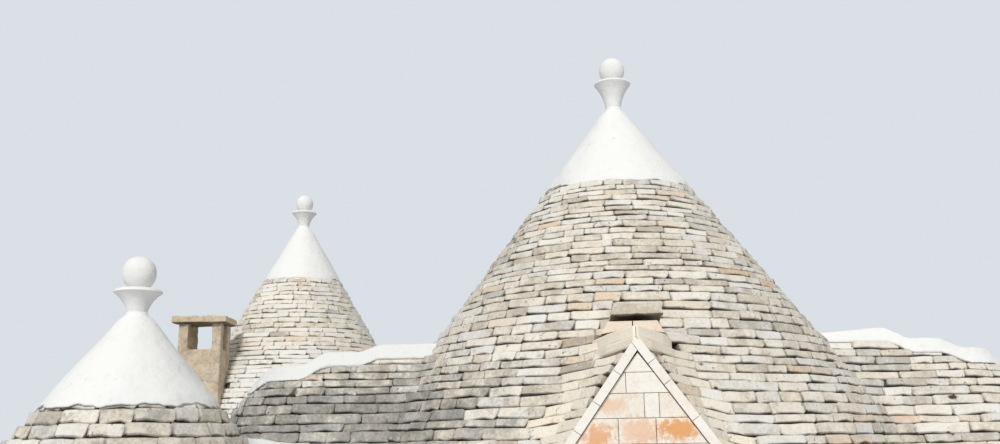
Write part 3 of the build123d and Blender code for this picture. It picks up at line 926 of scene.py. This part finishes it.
# Stones as meshes, laid by geometry nodes
def blank_face(form, draw):
    """Rows of corners of a rough block's face, set back along its rim and nibbled at its ends."""
    xs = (-0.5, -0.44, -0.17, 0.14, 0.44, 0.5)
    zs = (-0.5, -0.36, 0.38, 0.5)
    rim_back = (0.05, 0.0, 0.0, 0.03)
    sway = draw.normal(0, 0.075, 6)
    slant = draw.uniform(-0.02, 0.02, 2)
    low_nibble = draw.uniform(0.05, 0.36, 2)
    high_nibble = draw.uniform(0.0, 0.12, 2)
    rows = [[], [], [], []]
    for j, z in enumerate(zs):
        for i, x in enumerate(xs):
            half, end = i // 3, i in (0, 5)
            back = 0.03 * end + rim_back[j] + draw.normal(0, 0.014)
            lift = sway[i] if j < 2 else sway[i] * 0.25
            if end:
                lift += (low_nibble[half], 0, 0, -high_nibble[half])[j]
            rows[j].append(form.verts.new((x + slant[half] * z * 2, back, z + lift)))
    return rows


def stone_blank(index):
    """One rough block: length along X, face at the origin, body behind it, height along Z."""
    form = bmesh.new()
    painted_shade = form.verts.layers.float.new("edge")
    front = blank_face(form, np.random.default_rng(100 + index))
    rim = front[0] + [front[1][5], front[2][5]] + front[3][::-1] + [front[2][0], front[1][0]]
    behind = [form.verts.new((v.co.x * 0.96, 1.0, v.co.z * 0.92)) for v in rim]
    for low, high in zip(front, front[1:]):
        for i in range(5):
            form.faces.new((low[i], low[i + 1], high[i + 1], high[i]))
    join_rings(form, rim, behind)
    form.faces.new(behind)
    bmesh.ops.recalc_face_normals(form, faces=form.faces)
    # Painted shade: a high share on the lower rim and on the back, a low one on the upper rim. The stone
    # materials darken the stones by it, as shade under them and in their joints.
    for vertex in rim:
        vertex[painted_shade] = 0.9 if vertex.co.z < -0.2 else 0.2
    for vertex in behind:
        vertex[painted_shade] = 1.0
    return bpy.data.objects.new(f"stone_blank_{index}", mesh_of(form, f"stone_blank_{index}"))


def join_rings(form, ring, other):
    """Faces between two closed rings of corners."""
    after = range(1 - len(ring), 1)
    return [form.faces.new((ring[n], ring[n - 1], other[n - 1], other[n])) for n in after]


def mesh_of(form, name, finish=None):
    """Turn a form into a mesh, with a material if one is named."""
    mesh = bpy.data.meshes.new(name)
    form.to_mesh(mesh)
    form.free()
    if finish:
        mesh.materials.append(finish)
    return mesh


def as_object(name, mesh):
    made = bpy.data.objects.new(name, mesh)
    bpy.context.scene.collection.objects.link(made)
    return made


blanks = bpy.data.collections.new("stone_blanks")
for index in range(stone_kinds):
    blanks.objects.link(stone_blank(index))


def make_laying():
    """Put a stone on every point, by the point's own size and turn, and roughen it."""
    tree = bpy.data.node_groups.new("lay_stones", "GeometryNodeTree")
    points, kinds, finish, scale, lift, sharpest, seed = add_inputs(tree, [
        ("Geometry", "Geometry", None), ("Stones", "Collection", None), ("Finish", "Material", None),
        ("Grain scale", "Float", grain_scale), ("Grain lift", "Float", grain_lift),
        ("Crease", "Float", crease), ("Seed", "Int", 3),
    ])
    tree.interface.new_socket("Geometry", in_out="OUTPUT", socket_type="NodeSocketGeometry")

    def add(kind, links=(), out=0, **settings):
        return add_node(tree, kind, links, out, **settings)

    def carried(name, kind="FLOAT_VECTOR"):
        return add("GeometryNodeInputNamedAttribute", {0: name}, data_type=kind)

    laid = add("GeometryNodeInstanceOnPoints", {
        "Points": points, "Pick Instance": True, "Instance Index": carried("shape", "INT"),
        "Instance": add("GeometryNodeCollectionInfo", {0: kinds, 1: True, 2: True}),
        "Rotation": add("FunctionNodeEulerToRotation", {0: carried("turn")}), "Scale": carried("size"),
    })
    real = add("GeometryNodeRealizeInstances", {0: laid})
    spot = add("GeometryNodeInputPosition")
    shifted = add("ShaderNodeVectorMath", {0: spot, 1: seed}, operation="ADD")
    swirl = add("ShaderNodeTexNoise", {"Vector": shifted, "Scale": scale, "Detail": 2.0}, "Color")
    centred = add("ShaderNodeVectorMath", {0: swirl, 1: (0.5, 0.5, 0.5)}, operation="SUBTRACT")
    offset = add("ShaderNodeVectorMath", {0: centred, "Scale": lift * 2.0}, operation="SCALE")
    rough = add("GeometryNodeSetPosition", {"Geometry": real, "Offset": offset})
    angle = add("GeometryNodeInputMeshEdgeAngle", out="Unsigned Angle")
    soft = add("FunctionNodeCompare", {0: angle, 1: sharpest}, operation="LESS_THAN")
    smooth = add("GeometryNodeSetShadeSmooth", {0: rough, 2: soft}, domain="EDGE")
    finished = add("GeometryNodeSetMaterial", {0: smooth, 2: finish})
    tree.links.new(finished.socket, tree.nodes.new("NodeGroupOutput").inputs[0])
    return tree


laying = make_laying()


def settled(source, name):
    """The mesh that an object's modifiers make. The object and its modifiers go."""
    bpy.context.view_layer.update()
    graph = bpy.context.evaluated_depsgraph_get()
    ready = source.evaluated_get(graph)
    mesh = bpy.data.meshes.new_from_object(ready, preserve_all_data_layers=True, depsgraph=graph)
    mesh.name = name
    source.modifiers.clear()
    bpy.data.objects.remove(source)
    return mesh


def build_stones(name, stones, finish, seed):
    """Turn a list of stones into one mesh, laid by the geometry nodes."""
    cloud = bpy.data.meshes.new(name + "_beds")
    cloud.from_pydata([stone.place for stone in stones], [], [])
    kinds = {"size": "FLOAT_VECTOR", "turn": "FLOAT_VECTOR", "shape": "INT"}
    for field in ("size", "turn", "tone", "patina", "warm", "lime", "shape"):
        values = np.array([getattr(stone, field) for stone in stones])
        stored = cloud.attributes.new(field, kinds.get(field, "FLOAT"), "POINT")
        stored.data.foreach_set("vector" if values.ndim == 2 else "value", values.ravel())
    bed = as_object(name + "_beds", cloud)
    modifier = bed.modifiers.new("laying", "NODES")
    modifier.node_group = laying
    sockets = laying.interface.items_tree
    for label, value in (("Stones", blanks), ("Finish", finish), ("Seed", seed)):
        modifier[sockets[label].identifier] = value
    mesh = settled(bed, name)
    for spare in kinds:
        if spare in mesh.attributes:
            mesh.attributes.remove(mesh.attributes[spare])
    return as_object(name, mesh)


def keep_piece(piece, slot, *replaced):
    """Hand a finished piece to the frame."""
    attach(piece, "root")
    if replaced:
        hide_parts(*replaced)


# What lies behind the stones is drawn in from their faces, and shows only as shade in the joints
def toward(middle, spot, limit):
    """Draw a spot in towards a middle if it lies on the outside, at a distance from that middle."""
    x, y = spot.x - middle[0], spot.y - middle[1]
    reach = hypot(x, y)
    if reach < limit - 0.004 or reach < core_depth:
        return None
    share = 1 - core_depth / reach
    return Vector((middle[0] + x * share, middle[1] + y * share, spot.z))


def into_cone(cone):
    return lambda spot: toward((cone.x, cone.y), spot, cone_radius(cone, spot.z))


def into_shoulder(spot):
    middle = min(max(spot.x, shoulder_left), shoulder_right)
    return toward((middle, 0), spot, shoulder_half(spot.z))


def into_passage(spot):
    along = spot.x * link_way[0] + spot.y * link_way[1]
    return toward(link_way * along, spot, link_half(spot.z))


def into_porch(spot):
    x, y = to_door(spot.x, spot.y)
    side = porch_outline(min(max(spot.z, gable_foot), seat_height - 1e-4))
    half = float(np.interp(y, side[:, 1], side[:, 0]))
    outside, over, ahead = abs(x) > half - 0.006, spot.z > brow_height - 0.004, y < -gable_front + 0.004
    if not (outside or over or ahead):
        return None
    if outside:
        x = np.sign(x) * max(abs(x) - core_depth, 0)
    return Vector(on_door(x, y + rake_face * ahead, spot.z - core_depth * over))


def into_tympanum(spot):
    x, y = to_door(spot.x, spot.y)
    return None if y > -tympanum_face + 0.006 else Vector(on_door(x, y + 0.025, spot.z))


def core_of(node, draw_in, inside):
    """A node's own form, drawn in where it is the outside of the house."""
    mesh = nodes[node].data.copy()
    drawn = set()
    for vertex in mesh.vertices:
        spot = draw_in(vertex.co)
        if spot is not None:
            vertex.co = spot
            drawn.add(vertex.index)
    mesh.materials.clear()
    mesh.materials.append(joint_shade)
    mesh.materials.append(inside)
    for polygon in mesh.polygons:
        polygon.material_index = 0 if drawn.issuperset(polygon.vertices) else 1
    return as_object(node + "_core", mesh)


def join_pieces(first, *others):
    with bpy.context.temp_override(active_object=first, selected_editable_objects=[first, *others]):
        bpy.ops.object.join()


def clad(node, name, stones, finish, seed, draw_in, inside):
    """Stones and the core behind them, in place of a node."""
    laid = build_stones(name, stones, finish, seed)
    join_pieces(laid, core_of(node, draw_in, inside))
    keep_piece(laid, "dry_stone", node)


main_stones = lay_main()
for node, finish, draw_in, inside in (
    ("main_roof", roof_stone, into_cone(main_cone), limewash),
    ("left_shoulder", roof_stone, into_shoulder, joint_shade),
    ("right_shoulder", roof_stone, into_shoulder, joint_shade),
    ("porch_roof", porch_stone, into_porch, joint_shade),
):
    own_stones = [stone for stone in main_stones if stands_on(stone) == node]
    clad(node, node + "_stones", own_stones, finish, 1, draw_in, inside)
rear_stones = lay_cone(rear_cone, rear_looks, 0.070, 0.058, rear_overlap, 1.25, 0.0025)
clad("rear_roof", "rear_roof_stones", rear_stones, pale_roof_stone, 2, into_cone(rear_cone), limewash)
annex_stones = lay_cone(annex_cone, annex_looks, 0.090, 0.078, annex_overlap)
clad("annex_roof", "annex_roof_stones", annex_stones, roof_stone, 3, into_cone(annex_cone), limewash)
clad("passage_roof", "passage_roof_stones", lay_link(), roof_stone, 4, into_passage, weathered_and_shaded_plaster)


def rounded_copy(node, name, finish, voxel, smoothing, lumps, lump_scale, fine, shift=Vector):
    """A node's form with its edges worn round and its faces made uneven."""
    form = bmesh.new()
    form.from_mesh(nodes[node].data)
    for vertex in form.verts:
        vertex.co = shift(vertex.co)
    bmesh.ops.remove_doubles(form, verts=form.verts, dist=1e-5)
    source = as_object(name, mesh_of(form, name + "_form"))
    remesh = source.modifiers.new("remesh", "REMESH")
    remesh.mode = "VOXEL"
    remesh.voxel_size = voxel
    wear = source.modifiers.new("wear", "SMOOTH")
    wear.factor = 0.5
    wear.iterations = smoothing
    worn = settled(source, name)
    normals = [vertex.normal.copy() for vertex in worn.vertices]
    for vertex, normal in zip(worn.vertices, normals):
        spot = Vector(vertex.co)
        swell = noise.noise(spot * lump_scale) * lumps
        swell += noise.noise(spot * lump_scale * 5.3 + Vector((9, 4, 2))) * fine
        vertex.co = spot + normal * swell
    worn.polygons.foreach_set("use_smooth", [True] * len(worn.polygons))
    worn.materials.clear()
    worn.materials.append(finish)
    return as_object(name, worn)


def drape(spot, low_by=0.045):
    """Let a coping's underside hang a little way down over the stones, and lie close to them."""
    middle = min(max(spot.x, shoulder_left), shoulder_right)
    x, y = spot.x - middle, spot.y
    reach = hypot(x, y)
    under = spot.z < shoulder_top(spot.x) + 0.02
    height = spot.z - low_by * under
    if reach > shoulder_half(spot.z) - 0.006 and reach > 0.05:
        share = (shoulder_half(height) + (0.008 if under else 0.012)) / reach
        x, y = x * share, y * share
    return Vector((middle + x, y, height))


# Plaster, tuff and the shelf: the node, what its piece is called after it, the finish, the slot,
# and how its form is rounded and made uneven
for node, called, finish, slot, *form_values in (
    ("left_coping", "plaster", weathered_and_shaded_plaster, "lime_plaster", 0.014, 4, 0.007, 3.4, 0.004, drape),
    ("right_coping", "plaster", lime_plaster, "lime_plaster", 0.014, 4, 0.007, 3.4, 0.004, drape),
    ("valley_plaster", "coat", weathered_and_shaded_plaster, "lime_plaster", 0.012, 3, 0.012, 6.0, 0.004),
    ("chimney_stack", "tuff", tuff, "tuff", 0.016, 2, 0.010, 7.0, 0.005),
    ("chimney_slab", "tuff", tuff, "tuff", 0.012, 3, 0.012, 6.0, 0.005),
    ("shelf_stone", "worn", shelf_slab, "pale_ashlar", 0.007, 2, 0.008, 9.0, 0.004),
):
    keep_piece(rounded_copy(node, f"{node}_{called}", finish, *form_values), slot, node)


# Caps of lime plaster that feather out over the stones along a ragged lower edge
cap_neck = 0.07
cap_rings = 46
cap_columns = 128
cap_proud = 0.009
cap_ragged = 0.03


def cap_column(cone, top, edge, out):
    """Spots of a cap on one bearing, from its neck down to its edge and in under it."""
    spots_down = []
    for i in range(cap_rings + 1):
        share = i / cap_rings
        height = top + (edge - top) * share
        body = min(1.0, (1 - share) * 12)
        radius = max(cone_radius(cone, height), cap_neck) + cap_proud * body - 0.005 * (1 - body)
        radius = cap_neck + (radius - cap_neck) * min(1.0, share * 14)
        spot = Vector((cone.x, cone.y, height)) + out * radius
        swell = (noise.noise(spot * 5.0) * 0.010 + noise.noise(spot * 17.0) * 0.003) * body
        spots_down.append(spot + out * swell)
    inner = cone_radius(cone, edge) - 0.05
    return spots_down + [Vector((cone.x, cone.y, edge + 0.012)) + out * inner]


def lime_cap(name, cone, node, edge_low, edge_high, face_bearing):
    """A cap whose edge is lower on the side that it faces."""
    form = bmesh.new()
    columns = []
    shape_seed = Vector((cone.x, cone.y, 5.0))
    for k in range(cap_columns):
        bearing = 2 * pi * k / cap_columns
        out = Vector((cos(bearing), sin(bearing), 0))
        facing = 0.5 + 0.5 * cos(bearing - radians(face_bearing))
        edge = edge_high + (edge_low - edge_high) * facing
        edge += cap_ragged * noise.noise(out * 3.1 + shape_seed)
        edge += cap_ragged * 0.7 * noise.noise(out * 9.0 + shape_seed)
        columns.append([form.verts.new(spot) for spot in cap_column(cone, corners(node)[1][2], edge, out)])
    rows = list(zip(*columns))
    for row, below in zip(rows, rows[1:]):
        join_rings(form, row, below)
    form.faces.new(rows[0])
    form.faces.new(rows[-1][::-1])
    bmesh.ops.recalc_face_normals(form, faces=form.faces)
    mesh = mesh_of(form, name, lime_plaster)
    mesh.polygons.foreach_set("use_smooth", [len(face.vertices) < 5 for face in mesh.polygons])
    keep_piece(as_object(name, mesh), "lime_plaster", node)


lime_cap("main_cap_plaster", main_cone, "main_white_cap", 4.74, 4.86, -90)
lime_cap("rear_cap_plaster", rear_cone, "rear_white_cap", 4.76, 4.83, -70)
lime_cap("annex_cap_plaster", annex_cone, "annex_white_cap", 2.865, 2.875, -90)


# The dressed stones of the gable and the doorway
def new_blocks():
    form = bmesh.new()
    form.faces.layers.float.new("tone")
    return form


def close_block(form, rings, tone):
    """Faces over rings of corners that follow each other, all of one tone."""
    faces = [form.faces.new(rings[0]), form.faces.new(rings[-1][::-1])]
    for ring, other in zip(rings, rings[1:]):
        faces += join_rings(form, ring, other)
    bmesh.ops.recalc_face_normals(form, faces=faces)
    for face in faces:
        face[form.faces.layers.float["tone"]] = tone
    return faces


def block(form, outline, front, back, tone, round_off=0.004):
    """One dressed block: an outline across and up, given a thickness, its face edges eased."""
    rings = [[form.verts.new(on_door(x, -depth, z)) for x, z in outline] for depth in (front, back)]
    edges = list(close_block(form, rings, tone)[0].edges)
    bmesh.ops.bevel(form, geom=edges, offset=round_off, segments=2, affect="EDGES", profile=0.6)


def finish_blocks(form, name, finish, *replaced, draw_in=None):
    """Make a piece of the blocks, with the core behind them where the node keeps one."""
    piece = as_object(name, mesh_of(form, name, finish))
    if draw_in:
        join_pieces(piece, core_of(replaced[0], draw_in, joint_shade))
    keep_piece(piece, "pale_ashlar", *replaced)


# The tympanum, row by row from the foot of the gable, with the places of its upright joints
tympanum_rows = [2.25, 2.41, 2.577, 2.734, 2.887, 3.016]
tympanum_joints = [(-0.30, 0.16), (-0.143, 0.25), (-0.137, 0.096), (0.029, 0.121), (-0.08,)]
tympanum_thick = 0.05
block_gap = 0.003
half_gap = block_gap / 2


def gable_half(height):
    return (gable_peak - height) / gable_rise - block_gap


form = new_blocks()
for low, high, joints in zip(tympanum_rows, tympanum_rows[1:], tympanum_joints):
    low, high = low + half_gap, high - half_gap
    lefts = [(-gable_half(low), -gable_half(high)), *((x + half_gap, x + half_gap) for x in joints)]
    rights = [*((x - half_gap, x - half_gap) for x in joints), (gable_half(low), gable_half(high))]
    for (a, d), (b, c) in zip(lefts, rights):
        tone = rng.uniform(0.5, 1.0)
        face = tympanum_face + rng.normal(0, 0.002)
        block(form, [(a, low), (b, low), (c, high), (d, high)], face, face - tympanum_thick, tone)
low = tympanum_rows[-1] + half_gap
top_stone = [(-gable_half(low), low), (gable_half(low), low), (0, gable_peak - 0.012)]
block(form, top_stone, tympanum_face, tympanum_face - tympanum_thick, 0.8)
finish_blocks(form, "tympanum_blocks", stained_stone, "tympanum", draw_in=into_tympanum)

# The band of stones along each rake of the gable. The right one runs on past the peak.
rake_joints = {"left": (0.188, 0.42, 0.635, 0.88), "right": (0.106, 0.267, 0.543, 0.83)}
rake_over = rake_thickness / tan(2 * gable_slope)
rake_crossing = rake_thickness * tan(gable_slope) + rake_over
rake_length = (gable_peak - gable_foot) / sin(gable_slope)
rake_outer = rake_thickness - 0.002
rake_blunt = [(-0.018, rake_peak - 0.036), (0.023, rake_peak - 0.036)]


def rake_line(way, down, *outs):
    """Spots of the gable's face, down a rake from the peak and out from its inner line."""
    c, s = cos(gable_slope), sin(gable_slope)
    return [(way * (down * c + out * s), gable_peak - down * s + out * c) for out in outs]


for side, way in (("left", -1), ("right", 1)):
    form = new_blocks()
    if side == "right":
        head = rake_line(way, half_gap - rake_crossing, half_gap) + rake_blunt
    else:
        head = rake_line(way, half_gap, half_gap) + rake_line(way, rake_over + half_gap, rake_outer)
    for foot in (*rake_joints[side], rake_length):
        outline = rake_line(way, foot - half_gap, rake_outer, half_gap) + head
        front = gable_front - rng.uniform(0, 0.004)
        block(form, outline, front, gable_front - rake_face, rng.uniform(0.75, 1.1), 0.003)
        head = rake_line(way, foot + half_gap, half_gap, rake_outer)
    finish_blocks(form, f"gable_rake_{side}_blocks", gable_stone, f"gable_rake_{side}", draw_in=into_porch)

# Long slabs that meet over the peak of the gable and fall away at each side: their foot and top,
# and their front line in plan, across and along the doorway's axis
head_plans = (
    (3.178, 3.236, (0.022, -2.58), (0.10, -2.45), (0.175, -2.29), (0.245, -2.13), (0.32, -1.95)),
    (3.244, 3.318, (0.022, -2.48), (0.10, -2.36), (0.175, -2.21), (0.235, -2.08), (0.28, -1.94)),
)
head_fall = 0.16
head_middle = 0.002
form = new_blocks()
for low, high, *side in head_plans:
    for way in (-1, 1):
        shift = rng.normal(0, 0.006, (len(side), 2))
        plan = [(head_middle, side[0][1] - 0.01), *(np.array(side) + shift), (head_middle, side[-1][1])]
        rings = []
        for height, draw in ((low, 0.006), (low + 0.007, 0.0), (high - 0.006, 0.0), (high, 0.005)):
            ring = []
            for (x, y), up in zip(plan, rng.normal(0, 0.003, len(plan))):
                level = height - head_fall * max(x - 0.02, 0) + up
                ring.append(form.verts.new(on_door(way * x * (1 - draw * 3), y + draw, level)))
            rings.append(ring)
        close_block(form, rings, rng.uniform(0.9, 1.1))
finish_blocks(form, "porch_head_slabs", head_stone)

# Two rose-coloured stones that close the head of the porch roof, deeper at their outer ends
ridge_low, ridge_high = (corner[2] for corner in corners("ridge_stones"))
ridge_inner, ridge_foot, ridge_head = 0.003, 0.215, 0.168
ridge_depth = 0.45
form = new_blocks()
for way, tone in ((-1, 0.55), (1, 0.75)):
    outline = [(ridge_inner, ridge_low - 0.004), (ridge_foot, ridge_low - 0.036)]
    outline += [(ridge_head, ridge_high), (ridge_inner, ridge_high)]
    outline = [(way * x, z) for x, z in outline]
    block(form, outline, seat_front - 0.002, seat_front - ridge_depth, tone, 0.006)
finish_blocks(form, "ridge_stone_blocks", rose_stone, "ridge_stones")

# The arch over the doorway: wedge stones cut square to the bay above them
wedges = 9
arch_front = gable_front - 0.004
arch_back = 1.45
arch_rise = gable_foot - door_springing
bay_corner = atan2(arch_rise, door_bay)
wedge_share = 0.985


def arch_outer(angle):
    """Where a line from the arch's middle meets the edge of its bay."""
    reach = min(door_bay / max(abs(cos(angle)), 1e-6), arch_rise / max(sin(angle), 1e-6))
    return reach * cos(angle), door_springing + reach * sin(angle)


form = new_blocks()
for k in range(wedges):
    a, b = pi - pi * k / wedges, pi - pi * (k + 1) / wedges
    turns = [a + (b - a) * t / 3 for t in range(4)]
    outline = [(door_half_width * cos(t), door_springing + door_half_width * sin(t)) for t in turns]
    turns = [b, *(t for t in (pi - bay_corner, bay_corner) if b < t < a), a]
    outline += [arch_outer(t) for t in turns]
    centre = np.mean(outline, axis=0)
    outline = [tuple(centre + (np.array(spot) - centre) * wedge_share) for spot in outline]
    tone = rng.uniform(0.4, 0.9)
    block(form, outline, arch_front + rng.normal(0, 0.002), arch_back, tone)
finish_blocks(form, "door_arch_blocks", gable_stone, "door_arch")

# Jamb stones of the doorway
jamb_heights = (0.22, 0.34)
jamb_least = 0.15
jamb_depth = 0.29
for name, way in (("door_pier_left", -1), ("door_pier_right", 1)):
    form = new_blocks()
    level = 0.0
    inner, outer = way * door_half_width, way * door_bay
    while level < door_springing - 0.01:
        left_over = door_springing - level
        tall = min(rng.uniform(*jamb_heights), left_over)
        if left_over - tall < jamb_least:
            tall = left_over
        low, high = level + block_gap, level + tall - block_gap
        tone = rng.uniform(0.4, 0.9)
        outline = [(inner, low), (outer, low), (outer, high), (inner, high)]
        block(form, outline, arch_front + rng.normal(0, 0.002), gable_front - jamb_depth, tone)
        level += tall
    finish_blocks(form, name + "_blocks", gable_stone, name)

# Slabs of the eaves, on a core that lies a little inside their edges
eaves_low, eaves_high = (corner[2] for corner in corners("main_eaves"))
eaves_out = 0.008
edge_back = 0.022
core_back = 0.02


def main_eaves_reach(bearing):
    """The outer edge of the main eaves, which follow the round wall and the shoulders."""
    return max(main_cone.foot_radius + eaves_out, slot_reach(bearing, shoulder_foot + eaves_out))


def eaves(place, cone, edge_reach, bearings, seed, buried):
    """Slabs round a cone's foot, up to an edge, apart from those that are buried in another roof."""
    reach = np.array([edge_reach(bearing) for bearing in bearings]) - edge_back
    slabs = eaves_slabs(round_path(bearings, reach, cone.x, cone.y), eaves_low, eaves_high)
    slabs = [slab for slab in slabs if not buried(*slab.place[:2], gable_foot + 0.07)]

    def draw_in(spot):
        limit = edge_reach(atan2(spot.y - cone.y, spot.x - cone.x)) - core_back
        return toward((cone.x, cone.y), spot, limit)

    clad(f"{place}_eaves", f"{place}_eaves_slabs", slabs, eaves_stone, seed, draw_in, limewash)


bearings = full_turn(720) + door_bearing
eaves("main", main_cone, main_eaves_reach, bearings, 5, lambda x, y, z: in_cone(annex_cone, x, y, z, 0.05))
for place, cone, seed in (("rear", rear_cone, 6), ("annex", annex_cone, 7)):
    radius = cone.foot_radius + eaves_out
    eaves(
        place, cone, lambda bearing: radius, full_turn(240), seed, lambda x, y, z: in_main(x, y, z, 0.0)
    )

# Finishes of the nodes that stay as they were built
finishes = {"wall": limewash, "floor": paving, "step": paving, "finial": lime_plaster}
for name, node in nodes.items():
    for word, finish in finishes.items():
        if word in name:
            node.data.materials.clear()
            node.data.materials.append(finish)

for spare in list(blanks.objects):
    bpy.data.objects.remove(spare)
bpy.data.collections.remove(blanks)


# Floor, light and camera
def make_floor(half=400):
    material = bpy.data.materials.new("pale_floor")
    material.use_nodes = True
    shader = material.node_tree.nodes["Principled BSDF"]
    shader.inputs["Base Color"].default_value = (0.62, 0.64, 0.66, 1)
    shader.inputs["Roughness"].default_value = 0.95
    mesh = bpy.data.meshes.new("studio_floor")
    rim = [(-half, -half, 0), (half, -half, 0), (half, half, 0), (-half, half, 0)]
    mesh.from_pydata(rim, [], [(0, 1, 2, 3)])
    mesh.materials.append(material)
    floor = as_object("studio_floor", mesh)
    floor.location.z = -0.001


def make_light():
    lamp = bpy.data.lights.new("key", "SUN")
    lamp.energy = 2.12
    lamp.angle = radians(11)
    lamp.color = (1.0, 0.985, 0.955)
    key = as_object("key", lamp)
    aim = Vector((0.18, 1.0, -0.76))
    key.rotation_mode = "QUATERNION"
    key.rotation_quaternion = aim.to_track_quat("-Z", "Y")
    world = bpy.data.worlds.new("studio")
    bpy.context.scene.world = world
    world.use_nodes = True
    tree = world.node_tree
    fill = tree.nodes["Background"]
    fill.inputs["Color"].default_value = (0.95, 0.975, 1.0, 1)
    fill.inputs["Strength"].default_value = 0.47
    backdrop = add_node(tree, "ShaderNodeBackground", {"Color": (0.70, 0.745, 0.79, 1), "Strength": 1.0})
    seen = add_node(tree, "ShaderNodeLightPath", out="Is Camera Ray")
    links = {0: seen, 1: Value(tree, fill.outputs[0]), 2: backdrop}
    mixed = add_node(tree, "ShaderNodeMixShader", links)
    tree.links.new(mixed.socket, tree.nodes["World Output"].inputs["Surface"])


def make_camera():
    data = bpy.data.cameras.new("view")
    data.sensor_width = sensor
    data.lens = focal_pixels * sensor / picture_width
    camera = as_object("view", data)
    tilt, lean = radians(pitch), radians(roll)
    ahead = Vector((0, cos(tilt), sin(tilt)))
    level_up = Vector((0, -sin(tilt), cos(tilt)))
    right = Vector((1, 0, 0)) * cos(lean) + level_up * sin(lean)
    up = level_up * cos(lean) - Vector((1, 0, 0)) * sin(lean)
    turn = Matrix((right, up, -ahead)).transposed()
    camera.matrix_world = Matrix.Translation(eye) @ turn.to_4x4()
    bpy.context.scene.camera = camera


make_floor()
make_light()
make_camera()
bpy.context.scene.view_settings.view_transform = "Standard"
